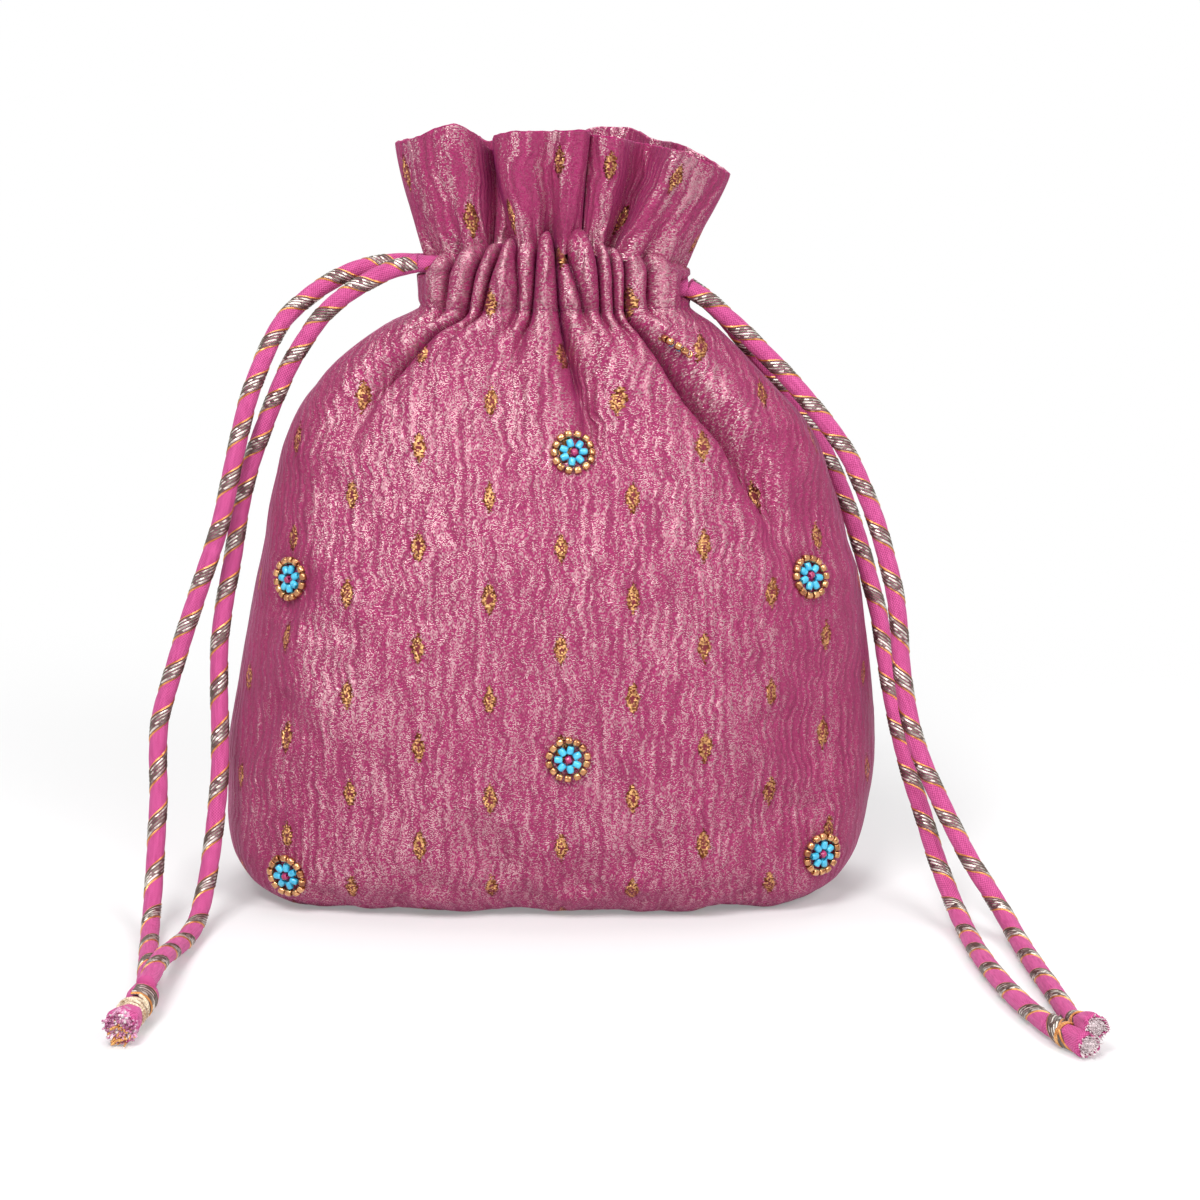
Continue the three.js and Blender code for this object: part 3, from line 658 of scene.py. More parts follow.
AROUND, DOWN = 500, 190
FRONT_MIDDLE, BACK_MIDDLE = AROUND * 3 // 4, AROUND // 4
side_change, depth_change = np.diff(rows[:, 1] + rows[:, 2]) / 2, np.diff(rows[:, 3])
row_at = running(np.hypot(np.diff(rows[:, 0]), np.hypot(side_change, depth_change) / 1.3))
sample = np.concatenate([np.linspace(0, row_at[1], 4)[:-1], np.linspace(row_at[1], row_at[-1], DOWN - 3)])
body = {key: spline(row_at, rows[:, i], sample) for i, key in enumerate(("z", "left", "right", "reach", "n"))}
sin_at, share_at = even_turns(2.3)


def base_surface():
    """The pouch before its folds: rows by columns by three, the columns from the right round the back."""
    x = share_at * np.where(share_at < 0, body["left"][:, None], body["right"][:, None])
    power = body["n"][:, None]
    y = np.sign(sin_at) * body["reach"][:, None] * np.clip(1 - np.abs(share_at) ** power, 0, 1) ** (1 / power)
    return np.stack([x, y, np.broadcast_to(body["z"][:, None], x.shape)], -1)


def outward(points):
    return unit(np.cross(np.roll(points, -1, 1) - np.roll(points, 1, 1), np.gradient(points, axis=0)))


# Folds: each a line of (height, share of the half width, depth, width to the left, width to the right)

FRONT_FOLDS = [
    [(190, -0.52, 6, 0.9, 0.9), (180, -0.54, 6, 0.9, 0.9), (170, -0.6, 5.6, 1, 1),
     (165, -0.63, 5.4, 1.3, 1.2), (158, -0.69, 6.2, 3.0, 1.6), (150, -0.70, 6.4, 5, 2.4),
     (141, -0.72, 4.2, 6, 4), (126, -0.76, 0, 8, 6)],
    [(190, -0.39, 6, 0.8, 0.8), (180, -0.4, 6, 0.8, 0.8), (169, -0.48, 5.4, 1, 1),
     (163, -0.52, 3.4, 1.6, 1.6), (152, -0.56, 1.2, 4, 3), (140, -0.58, 0, 5, 4)],
    [(190, -0.25, 5, 0.7, 0.7), (180, -0.26, 4.6, 0.7, 0.7), (170, -0.235, 3.8, 0.9, 0.9),
     (163, -0.25, 2.2, 1.8, 1.8), (154, -0.27, 0, 3, 3)],
    [(190, -0.12, 6, 0.7, 0.7), (180, -0.1, 6, 0.8, 0.8), (170, -0.115, 5.6, 0.9, 0.9),
     (163, -0.13, 4.6, 1.3, 1.3), (152, -0.17, 1.6, 3, 3), (138, -0.18, 0, 4, 4)],
    [(190, 0.035, 6, 0.7, 0.7), (180, 0.045, 6, 0.7, 0.8), (166, 0.066, 6.6, 1.0, 1.4),
     (157, 0.085, 8.6, 1.3, 5.4), (149, 0.115, 8.8, 2.2, 8.6), (140, 0.14, 5.6, 4.2, 10),
     (122, 0.16, 0, 8, 11)],
    [(190, 0.1, 5.5, 0.6, 0.6), (180, 0.125, 5.5, 0.7, 0.7), (168, 0.225, 5, 0.8, 1.2),
     (160, 0.27, 2.2, 2, 3), (148, 0.3, 0, 4, 4)],
    [(190, 0.33, 6, 0.7, 0.7), (180, 0.35, 6, 0.8, 0.8), (166, 0.37, 5.4, 0.9, 0.9),
     (160, 0.39, 2.6, 1.6, 1.6), (148, 0.41, 0, 3, 3)],
    [(190, 0.45, 5, 0.6, 0.6), (180, 0.46, 5, 0.6, 0.6), (166, 0.47, 5, 0.7, 0.7),
     (160, 0.48, 3, 1.2, 1.2), (150, 0.5, 0, 3, 3)],
    [(190, 0.56, 5.5, 0.7, 0.7), (180, 0.56, 5.5, 0.7, 0.7), (165, 0.555, 5.6, 1, 1.2),
     (160, 0.56, 6.4, 1.2, 2), (153, 0.585, 8.8, 1.2, 4.2), (141, 0.6, 10.6, 1.2, 6.2),
     (129, 0.65, 9.6, 1.6, 7.2), (114, 0.71, 6.0, 3.6, 9), (92, 0.76, 0, 8, 11)],
    [(190, 0.73, 3, 1.2, 1.2), (178, 0.73, 3.6, 1.2, 1.2), (168, 0.72, 4, 1.4, 1.4), (160, 0.74, 0, 3, 3)],
    [(190, -0.74, 4.5, 0.9, 0.9), (178, -0.76, 4.4, 1.0, 1.0), (168, -0.8, 3.6, 1.3, 1.3),
     (158, -0.86, 0, 3, 3)],
]
FRONT_ROLLS = [
    [(166, 0.66, 0, 4, 4), (158, 0.71, 2.6, 5, 6), (150, 0.75, 3.8, 6, 7), (138, 0.77, 4.2, 7, 8),
     (124, 0.82, 3.4, 8, 8), (100, 0.87, 0, 10, 10)],
    [(164, -0.5, 0, 5, 5), (156, -0.54, 2.2, 5, 6), (146, -0.55, 2.2, 7, 8), (126, -0.55, 0, 9, 10)],
    [(158, -0.8, 0, 5, 5), (150, -0.85, 2.2, 6, 6), (138, -0.87, 2.4, 8, 8), (118, -0.88, 0, 10, 10)],
    [(166, -0.01, 0, 3, 2), (156, -0.03, 1.8, 5, 3), (146, -0.03, 1.6, 8, 4), (130, -0.02, 0, 9, 6)],
    [(164, 0.32, 0, 5, 5), (156, 0.38, 2.0, 6, 6), (144, 0.42, 2.2, 9, 8), (122, 0.46, 0, 10, 10)],
    [(184, -0.34, 1.2, 2.2, 2.2), (172, -0.35, 1.8, 2.4, 2.4), (162, -0.36, 0, 3, 3)],
    [(184, 0.26, 1.0, 2.2, 2.2), (172, 0.29, 1.8, 2.2, 2.2), (162, 0.32, 0, 3, 3)],
    [(184, 0.0, 0.6, 2, 2), (172, -0.03, 1.2, 2, 2), (160, -0.04, 0, 3, 3)],
]
back_random = np.random.default_rng(23)
BACK_FOLDS = []
share = -0.86
while share < 0.9:
    long = back_random.random() < 0.35
    low = 164 - (back_random.uniform(26, 50) if long else back_random.uniform(8, 18))
    deep = back_random.uniform(3.8, 5.4)
    lean = back_random.uniform(-0.03, 0.03)
    wide = back_random.uniform(0.8, 1.1)
    second, third = (156, (156 + low) / 2) if long else (160, 158)
    deep_second, deep_third = (0.75, 0.4) if long else (0.4, 0.2)
    BACK_FOLDS.append([
        (190, share, deep, wide, wide), (178, share, deep, wide, wide),
        (166, share + lean, deep * 0.9, wide * 1.1, wide * 1.1),
        (second, share + 1.6 * lean, deep * deep_second, 2.4, 2.4),
        (third, share + 2 * lean, deep * deep_third, 4.5, 4.5), (low, share + 2.4 * lean, 0, 7, 7),
    ])
    share += back_random.uniform(0.1, 0.17)


def on_panel(front):
    """True for the columns of the front or the back."""
    return sin_at < 0 if front else sin_at > 0


def fold_field(folds, front, pull=0.0):
    """How far the cloth goes in at each point of the grid, and how far it's pulled sideways."""
    z = body["z"]
    total = np.zeros((len(sample), AROUND))
    pulled = np.zeros_like(total)
    for fold in folds:
        f = np.array(sorted(fold))
        place, left, right = (np.interp(z, f[:, 0], f[:, k])[:, None] for k in (1, 3, 4))
        deep = (spline(f[:, 0], f[:, 2], np.clip(z, f[0, 0], f[-1, 0])) * (z >= f[0, 0]))[:, None]
        off = (share_at - place) * np.where(place < 0, body["left"][:, None], body["right"][:, None])
        far = off / np.where(off < 0, left, right)
        total += deep / (1 + far**2) ** 1.4
        pulled -= np.clip(deep / 5, 0, 1) * pull * off * np.exp(-(far**2) / 2)
    return np.array([total, pulled]) * on_panel(front)


def lobes(folds, front, seed, most, z_low, z_high):
    """Round bulges of the cloth between grooves, their share from 0 in a groove to 1, and their rise."""
    z = body["z"]
    places = [np.interp(z, *np.array(sorted(fold)).T[:2]) for fold in folds]
    places = np.vstack([np.full(len(z), -1.02), np.sort(places, axis=0), np.full(len(z), 1.02)])
    rise = np.random.default_rng(seed).uniform(-1.0, 0.5, len(places))
    bulge, share_up, lift = np.zeros((3, len(z), AROUND))
    for i in range(len(places) - 1):
        low, high = places[i][:, None], places[i + 1][:, None]
        half = np.maximum(high - low, 1e-3) / 2
        u = (share_at - (low + high) / 2) / half
        inside = np.abs(u) < 1
        round_part = np.sqrt(np.clip(1 - u**2, 0, 1))
        bulge += np.where(inside, round_part * np.minimum(most, 0.62 * half * 36), 0)
        share_up += np.where(inside, np.sqrt(np.clip(1 - u**4, 0, 1)), 0)
        lift += np.where(inside, round_part * rise[i], 0)
    bulge *= smooth_step(z_low, z_high, z)[:, None]
    return np.array([bulge, share_up, lift]) * on_panel(front)


pouch = base_surface()
normals = outward(pouch)
y_grid, z_grid = pouch[..., 1], pouch[..., 2]
top_row = int(np.argmax(body["z"]))
outside = np.arange(len(sample))[:, None] < top_row
inward, pulled = fold_field(FRONT_FOLDS, True, 0.72) + fold_field(BACK_FOLDS, False, 0.72)
rolls = fold_field(FRONT_ROLLS, True)[0]

# The cord mouths: a slot at each end of the channel, with a soft lip round it

SLOT_LEFT, SLOT_RIGHT = (174.0, 177.1), (167.4, 170.5)
slot_low, slot_high = (np.where(share_at < 0, left, right) for left, right in zip(SLOT_LEFT, SLOT_RIGHT))
at_end = (np.abs(share_at) > 0.6) * outside
slot = smooth_step(8.2, 6.4, np.abs(y_grid)) * at_end
slot = slot * smooth_step(-1.4, 1.0, z_grid - slot_low) * smooth_step(1.4, -1.0, z_grid - slot_high)
over, under = smooth_step(-1.5, 1.0, z_grid - slot_high), smooth_step(1.5, -1.0, z_grid - slot_low)
lip = smooth_step(12.5, 8.2, np.abs(y_grid)) * smooth_step(-8.0, 1.0, z_grid - slot_low) * at_end
lip = lip * np.maximum(smooth_step(2.0, 6.0, np.abs(y_grid)), np.maximum(over, under))

# The swell and its creases: a coarse copy of the pouch is blown up as cloth, and its fine moves are kept

SIM_ROWS, SIM_COLUMN_STEP, SIM_FRAMES = 44, 4, 20
SIM_TOP = 158.0
MOST_MOVE = 4.0
HELD_ABOVE, HELD_BELOW = (140, 156), (4, 1)
FILLING = {
    "quality": 6, "mass": 0.15, "tension_stiffness": 12, "compression_stiffness": 12, "shear_stiffness": 4,
    "bending_stiffness": 0.3, "use_pressure": True, "uniform_pressure_force": 4, "shrink_min": -0.06,
    "vertex_group_mass": "held",
}


def blown_up(start):
    """How far a cloth held at the neck and base moves out, in millimetres, when it's filled."""
    rows_at = np.unique(np.linspace(0, int(np.argmax(body["z"] > SIM_TOP)), SIM_ROWS).astype(int))
    coarse = start[rows_at][:, ::SIM_COLUMN_STEP]
    points, faces = closed_grid(coarse, coarse[0].mean(axis=0), coarse[-1].mean(axis=0))
    copy = mesh_object("filled_copy", points, faces, smooth=False)
    held = copy.vertex_groups.new(name="held")
    height = coarse[..., 2].ravel()
    weight = np.maximum(smooth_step(*HELD_ABOVE, height), smooth_step(*HELD_BELOW, height))
    for i, much in enumerate([*weight, 1, 1]):
        if much > 0:
            held.add([i], float(much), "REPLACE")
    cloth = copy.modifiers.new("filling", "CLOTH")
    for key, value in FILLING.items():
        setattr(cloth.settings, key, value)
    cloth.settings.effector_weights.gravity = 0
    cloth.point_cache.frame_start, cloth.point_cache.frame_end = 1, SIM_FRAMES
    scene.frame_start, scene.frame_end = 1, SIM_FRAMES
    for tick in range(1, SIM_FRAMES + 1):
        scene.frame_set(tick)
    seen = copy.evaluated_get(bpy.context.evaluated_depsgraph_get())
    moved = np.empty(len(points) * 3)
    seen.data.vertices.foreach_get("co", moved)
    moved = moved.reshape(-1, 3)[:-2].reshape(coarse.shape) / MM - coarse
    mesh = copy.data
    bpy.data.objects.remove(copy, do_unlink=True)
    bpy.data.meshes.remove(mesh)
    scene.frame_set(1)
    far = (moved * normals[rows_at][:, ::SIM_COLUMN_STEP]).sum(axis=-1)
    spread = far.shape[1] // 12
    smooth = sum(np.roll(far, k, 1) for k in range(-spread, spread + 1)) / (2 * spread + 1)
    far = np.clip(far - smooth + 0.25 * (smooth - smooth.mean()), -MOST_MOVE, MOST_MOVE)
    far = np.column_stack([far, far[:, 0]])
    wide = sampled(far.T, np.arange(far.shape[1]), np.arange(AROUND) / SIM_COLUMN_STEP).T
    fine = np.stack([np.interp(np.arange(len(sample)), rows_at, column, right=0) for column in wide.T], 1)
    for _ in range(3):
        fine = (fine + np.roll(fine, 1, 1) + np.roll(fine, -1, 1)) / 3
    return fine * smooth_step(SIM_TOP, SIM_TOP - 12, z_grid)


def waves(*layers):
    """Layers of noise over the pouch: each is how far it goes, its cells down and across, and a seed."""
    return sum(far * value_noise(z_grid.shape, (down, wide), seed) for far, down, wide, seed in layers)


low_waves = waves((0.9, 3, 26, 5), (0.6, 5, 44, 6)) * smooth_step(34, 8, z_grid)
soft = waves((1.1, 6, 13, 11), (0.5, 12, 31, 12)) * smooth_step(0, 20, z_grid) * smooth_step(164, 150, z_grid)
creases = blown_up(pouch + normals * soft[..., None])
creases = creases * (1 - 0.75 * smooth_step(0.78, 0.97, np.abs(share_at)))
crinkle = waves((0.10, 16, 240, 13), (0.07, 30, 170, 14))
stitch_dip = 0.9 * np.exp(-((z_grid - 164.2) / 1.1) ** 2) * outside * (1 - lip)
seam = 0.8 * np.exp(-(y_grid / 0.8) ** 2) * (np.abs(share_at) > 0.9)
seam = seam * smooth_step(2, 8, z_grid) * smooth_step(166, 160, z_grid)

end_fade = smooth_step(0.97, 0.86, np.abs(share_at))
lobe, lobe_unit, lobe_lift = end_fade * (lobes(FRONT_FOLDS, True, 7, 3.0, 152, 168)
                                         + lobes(BACK_FOLDS, False, 8, 2.4, 154, 169))
lobe = lobe - 1.2 * smooth_step(150, 168, z_grid) * end_fade
swell = lobe + rolls - inward + low_waves + 0.55 * soft + creases + crinkle - stitch_dip - 8.5 * slot - seam
pouch = pouch + normals * swell[..., None]
pouch[..., 0] += pulled + np.sign(share_at) * 0.4 * lip

# The tops of the pleats stand up, and the gaps between them sink

finger = smooth_step(173, 182.5, z_grid) * (1 - lobe_unit) * end_fade
rise = 1.6 - 8.5 * np.abs(share_at) ** 1.7 + lobe_lift
pouch[..., 2] += smooth_step(172, 183, z_grid) * rise - 4.2 * finger
pouch[..., 2] = np.maximum(pouch[..., 2], 0)

# The cloth's coordinates: two panels, each measured from its middle; the columns now start at the back's

plain = base_surface()
meridian = plain[:, FRONT_MIDDLE]
v_length = length_along(meridian)
v_length += BUTTI_BASE - np.interp(BUTTI_BASE, meridian[:top_row, 2], v_length[:top_row])
pouch, plain = (np.roll(grid, -BACK_MIDDLE - 1, 1) for grid in (pouch, plain))
middle = FRONT_MIDDLE - BACK_MIDDLE - 1
steps_round = np.linalg.norm(np.roll(plain, -1, 1) - plain, axis=-1)
round_at = np.cumsum(steps_round, axis=1) - steps_round
u_front = round_at - round_at[:, middle][:, None] - COLUMN_SHIFT
whole_round = steps_round.sum(axis=1)[:, None]
u_back = np.where(np.arange(AROUND) < middle, round_at, round_at - whole_round) + BACK_PANEL_AT
v_grid = np.broadcast_to(v_length[:, None], u_front.shape)
y_middle = plain[DOWN // 2, :, 1]
uv = panel_uv(u_front, u_back, v_grid, y_middle + np.roll(y_middle, -1) < 0)
points, faces = closed_grid(pouch, (0, 0, 0), (1, 0, 178.0))
pouch_cloth = mesh_object("pouch_cloth", points, faces, np.vstack([uv, np.zeros((AROUND * 6, 2))]))
finish_piece(pouch_cloth, shot_tissue, "pouch")

# The frill: keys of (x at the pinch, x, y and height at the rim, depth at the pinch) round the neck,
# the front from left to right first

FRILL_KEYS = [
    (-30.8, -41.6, -0.5, 208.2, 1.0), (-27.5, -36.5, -8.0, 209.6, 1.1), (-23.5, -30.5, -12.0, 212.4, 1.15),
    (-20.0, -25.0, -13.6, 213.8, 1.2), (-17.6, -20.5, -11.0, 211.4, 1.0), (-16.6, -17.4, -4.0, 207.6, 0.5),
    (-15.4, -15.2, 3.0, 205.4, 0.2), (-13.6, -15.4, 4.4, 205.2, 0.9), (-11.4, -15.2, 2.6, 205.8, 1.05),
    (-9.2, -14.8, -3.5, 207.8, 0.2), (-7.4, -14.3, -11.5, 210.6, 1.1),
    (-5.0, -9.6, -15.6, 211.8, 1.25), (-2.6, -4.6, -15.8, 212.0, 0.95), (-0.2, 0.4, -13.4, 211.9, 0.4),
    (2.6, 4.6, -15.8, 212.2, 1.0), (5.6, 9.2, -15.8, 212.3, 1.2), (7.4, 10.8, -10.5, 211.6, 0.7),
    (8.0, 9.0, -1.0, 208.6, 0.15), (9.0, 11.0, -9.0, 210.4, 0.8), (11.0, 15.0, -13.2, 210.6, 1.1),
    (12.6, 19.6, -12.6, 209.8, 0.9), (13.4, 23.4, -2.0, 208.2, 0.1), (15.5, 27.6, 0.5, 207.4, 0.4),
    (18.6, 33.4, -12.4, 207.0, 1.15), (22.5, 36.6, -11.6, 206.2, 1.15), (26.5, 40.2, -9.6, 204.4, 1.0),
    (30.5, 44.6, -6.6, 202.4, 1.05), (34.5, 49.0, 0.5, 199.6, 1.0),
    (32.0, 44.5, 9.5, 202.6, 1.0), (24.0, 35.5, 13.5, 206.9, 1.1), (17.5, 29.0, 4.5, 208.4, 0.2),
    (13.0, 22.0, 14.6, 211.2, 1.1), (6.5, 11.5, 15.0, 211.0, 1.1), (2.5, 4.5, 3.5, 208.9, 0.2),
    (-2.0, -1.5, 15.2, 210.0, 1.1), (-9.0, -9.8, 15.6, 210.0, 1.1), (-14.5, -16.5, 4.5, 208.2, 0.2),
    (-19.0, -22.5, 14.6, 210.0, 1.1), (-24.5, -32.0, 12.4, 209.2, 1.0), (-28.5, -39.0, 6.5, 208.6, 1.0),
]
FRONT_KEYS = 28
FRILL_COLUMNS = 460
PINCH_MIDDLE, PINCH_HALF_WIDTH, PINCH_DEPTH, PINCH_HEIGHT = 2.5, 32.9, 9.6, 179.0
CURVE_SPOTS = 4000
CLOTH_THICK = 0.9
keys = np.array(FRILL_KEYS)
pinch_side = np.where(np.arange(len(keys)) < FRONT_KEYS, -1, 1)
pinch_round = np.sqrt(np.clip(1 - ((keys[:, 0] - PINCH_MIDDLE) / PINCH_HALF_WIDTH) ** 2, 0, 1))
pinch_y = pinch_side * PINCH_DEPTH * pinch_round * keys[:, 4]


def closed_curve(columns):
    """Smooth closed curves through the keys' values, in even small steps of the parameter."""
    n = len(columns)
    t = np.linspace(0, n, CURVE_SPOTS, endpoint=False)
    i = np.floor(t).astype(int)
    f = (t - i)[:, None]
    p0, p1, p2, p3 = (columns[(i + k) % n] for k in (-1, 0, 1, 2))
    bend, twist = 2 * p0 - 5 * p1 + 4 * p2 - p3, 3 * p1 - p0 - 3 * p2 + p3
    return 0.5 * (2 * p1 + (p2 - p0) * f + bend * f**2 + twist * f**3)


def closed_steps(*columns):
    """The steps round a closed curve."""
    return np.hypot(*(np.diff(column, append=column[:1]) for column in columns))


dense = closed_curve(np.column_stack([keys[:, :4], pinch_y]))
rim_step, pinch_step = closed_steps(dense[:, 1], dense[:, 2]), closed_steps(dense[:, 0], dense[:, 4])
measure = running(rim_step / rim_step.sum() + 0.6 * pinch_step / pinch_step.sum())
rim_length = running(rim_step)
spots = np.arange(CURVE_SPOTS + 1)
at_key = np.interp(np.linspace(0, measure[-1], FRILL_COLUMNS, endpoint=False), measure, spots)
pinch_x, rim_x, rim_y, rim_z, pinch_y = sampled(np.vstack([dense, dense[:1]]), spots, at_key).T
rim_u = np.interp(at_key, spots, rim_length)
rim_u = rim_u - np.interp(COLUMN_SHIFT, rim_x[:FRILL_COLUMNS // 3], rim_u[:FRILL_COLUMNS // 3])

# the frill's rows go up its outside, over the rim and down its inside: (how far up, how far in)
outside_rows = np.linspace(0, 1, 46)
levels = [(t, 0.0) for t in outside_rows]
levels += [(1 + 0.012 * math.sin(a), 0.5 - 0.5 * math.cos(a)) for a in np.linspace(0.5, math.pi - 0.5, 4)]
levels += [(t, 1.0) for t in np.linspace(1, 0.12, 34)]


def frill_sheet(t):
    """The frill's middle surface at a share of its height."""
    opened = 1 - (1 - t) ** 1.22
    gathered = np.clip(1 - t / 0.62, 0, 1) ** 1.4
    x = pinch_x + (rim_x - pinch_x) * opened
    y = pinch_y + (rim_y - pinch_y) * opened
    off = np.clip(np.abs(pinch_x - PINCH_MIDDLE) / PINCH_HALF_WIDTH, 0, 1)
    base_z = PINCH_HEIGHT - 6.5 * off**2
    z = base_z + (rim_z - base_z) * t
    turn = np.arange(FRILL_COLUMNS) / FRILL_COLUMNS * TAU
    pucker = np.sin(31 * turn + 1.5 * np.sin(3 * turn)) + 0.5 * np.sin(47 * turn + 2 * np.sin(5 * turn))
    push = 1.5 * gathered * pucker + 0.8 * math.sin(math.pi * t) * np.sin(5 * turn + 1)
    length = np.hypot(x - 2, y * 2) + 1e-6
    return np.stack([x + (x - 2) / length * push, y + y * 2 / length * push, z], -1)


frill = []
for t, inner in levels:
    layer = frill_sheet(min(t, 1.0))
    layer[:, 2] += max(t - 1, 0) * 30
    ahead = np.roll(layer, -1, 0) - np.roll(layer, 1, 0)
    layer[:, :2] -= unit(np.stack([ahead[:, 1], -ahead[:, 0]], -1)) * CLOTH_THICK * (inner - 0.5)
    frill.append(layer)
frill = np.array(frill)
height_share = np.array([min(t, 1) for t, _ in levels])[:, None]
frill[..., 2] += 0.22 * value_noise(frill.shape[:2], (3, 230), 41) * smooth_step(0.93, 1.0, height_share)
frill_v = np.interp(182.0, meridian[:top_row + 1, 2], v_length[:top_row + 1]) + height_share * 31
frill_v = frill_v + np.array([0.6 * (inner > 0.5) for _, inner in levels])[:, None]
uv = grid_uv(*np.broadcast_arrays(rim_u, frill_v), rim_length[-1])
frill_cloth = mesh_object("frill_cloth", frill.reshape(-1, 3), grid_faces(*frill.shape[:2]), uv)
finish_piece(frill_cloth, shot_tissue, "pouch")

# The bead flowers, on the cloth where the CAD flowers are

bpy.context.view_layer.update()
cloth_surface = BVHTree.FromObject(pouch_cloth, bpy.context.evaluated_depsgraph_get())


def bead(half_length, radius, hole, around, along, square=0.62):
    """A drilled bead with its hole along x."""
    turn = np.linspace(0, TAU, along, endpoint=False)
    x, r = (np.sign(value) * np.abs(value) ** square for value in (np.cos(turn), np.sin(turn)))
    r = ((radius + hole) / 2 + (radius - hole) / 2 * r)[:, None]
    roll = np.linspace(0, TAU, around, endpoint=False)
    points = np.stack(np.broadcast_arrays(half_length * x[:, None], r * np.cos(roll), r * np.sin(roll)), -1)
    corners = cell_corners(along + 1, around, True)
    faces = np.stack([r % along * around + c % around for r, c in (corners[k] for k in (0, 3, 2, 1))], -1)
    return points.reshape(-1, 3), faces.reshape(-1, 4)


def on_cloth(point, out):
    """Where a line through point along out meets the cloth, and the cloth's direction there."""
    hit, normal, _, _ = cloth_surface.ray_cast(Vector((point + out * 14) * MM), Vector(-out))
    if hit is None:
        return point, out
    normal = np.array(normal)
    return np.array(hit) / MM, normal if normal @ out >= 0 else -normal


def placed(shape, middle, along, out):
    """A bead's points and faces with its hole along a line and its side towards out."""
    points, faces = shape
    along = unit(along - out * (along @ out))
    return middle + points @ np.array([along, np.cross(out, along), out]), faces


FLOWERS = ("top_middle", "low_middle", "left_side", "left_corner", "right_side", "right_corner",
           "right_shoulder")
RING_BEADS, RING_RADIUS = 14, 5.1
PETALS, PETAL_RADIUS = 7, 2.62
BEAD_LIFT, CENTRE_LIFT = 0.95, 1.15
FOLD_OUT, FOLD_SIDEWAYS = np.array([-0.53, -0.2, -0.82]), np.array([0.82, -0.02, -0.57])
seed_bead = bead(0.9, 1.06, 0.4, 16, 12)
petal_bead = bead(1.1, 0.98, 0.3, 16, 14, 0.85)
centre_bead = bead(0.8, 1.0, 0.3, 20, 14)
flower_random = np.random.default_rng(3)
for flower in FLOWERS:
    solid = "flower_" + flower
    ring = np.array([v.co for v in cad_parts[solid + "_ring"].data.vertices]) / MM
    low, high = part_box(solid + "_centre")
    centre = np.array((low + high) / 2) / MM
    out = np.linalg.svd(ring - ring.mean(0))[2][2]
    if out @ np.array([centre[0] * 0.3, centre[1], 10.0]) <= 0:
        out = -out
    if out[1] > 0:
        out = -out
    sideways = unit(np.cross((0, 0, 1), out))
    upwards = np.cross(out, sideways)
    hit, facing = on_cloth(centre, out)
    start = flower_random.uniform(0, 1)

    # this flower is seen edge on, because it sits in a fold
    in_fold = flower == "right_shoulder"
    if in_fold:
        out = facing = unit(FOLD_OUT)
        sideways = unit(FOLD_SIDEWAYS - out * (FOLD_SIDEWAYS @ out))
        upwards = np.cross(out, sideways)
        if upwards[1] > 0:
            upwards = -upwards
        hit = hit - upwards * 2.3 + np.array([2.5, 0.0, -0.3])

    def spot(radius, turn):
        """A bead's place on the flower, its direction from the middle and its way up."""
        direction = across(sideways, upwards, turn)
        flat = hit + direction * radius
        if in_fold:
            return flat, direction, out
        place, normal = on_cloth(flat, out)
        near = np.linalg.norm(place - hit) < 12
        place = hit * 0.35 + place * 0.65 + direction * radius * 0.35 if near else flat
        up = unit(normal * 0.5 + out * 0.5)
        return place + up * BEAD_LIFT, direction, up

    beads = []
    for i in range(RING_BEADS):
        turn = TAU * (i + start + flower_random.uniform(-0.09, 0.09)) / RING_BEADS
        place, direction, up = spot(RING_RADIUS + flower_random.uniform(-0.16, 0.16), turn)
        tangent = np.cross(up, direction) + direction * flower_random.uniform(-0.12, 0.12)
        beads.append(placed(seed_bead, place, tangent, up))
    finish_piece(mesh_object(solid + "_seed_ring", *joined(beads)), gold_glass, solid + "_ring")
    beads = []
    for i in range(PETALS):
        turn = TAU * (i + start + flower_random.uniform(-0.04, 0.04)) / PETALS
        place, direction, up = spot(PETAL_RADIUS, turn)
        beads.append(placed(petal_bead, place, direction, up))
    petals = mesh_object(solid + "_petal_beads", *joined(beads))
    finish_piece(petals, turquoise_glass, solid + "_petals")
    ruby = placed(centre_bead, hit + facing * CENTRE_LIFT, sideways + upwards * 0.4, facing)
    finish_piece(mesh_object(solid + "_centre_bead", *ruby), ruby_glass, solid + "_centre")

# The raw ends of the cords: covers with a ragged rim, filler threads and a binding thread

PLAIN_UV = np.array([[0.9, 0.3], [0.3, -1.0], [0.8, 0.1]])


def plain_mesh(name, pieces):
    """One mesh from several pieces, with its UVs laid straight through it."""
    points, faces = joined(pieces)
    corners = points[[i for face in faces for i in face]]
    return mesh_object(name, points, faces, corners @ PLAIN_UV)


def tube(line, radii, sides=6):
    """A closed tube along a line, with one radius or a radius for each point."""
    _, side, up = frames_along(line)
    turn = np.linspace(0, TAU, sides, endpoint=False)
    radii = np.broadcast_to(radii, len(line))[:, None, None]
    return closed_grid(line[:, None] + radii * across(side[:, None], up[:, None], turn), line[0], line[-1])


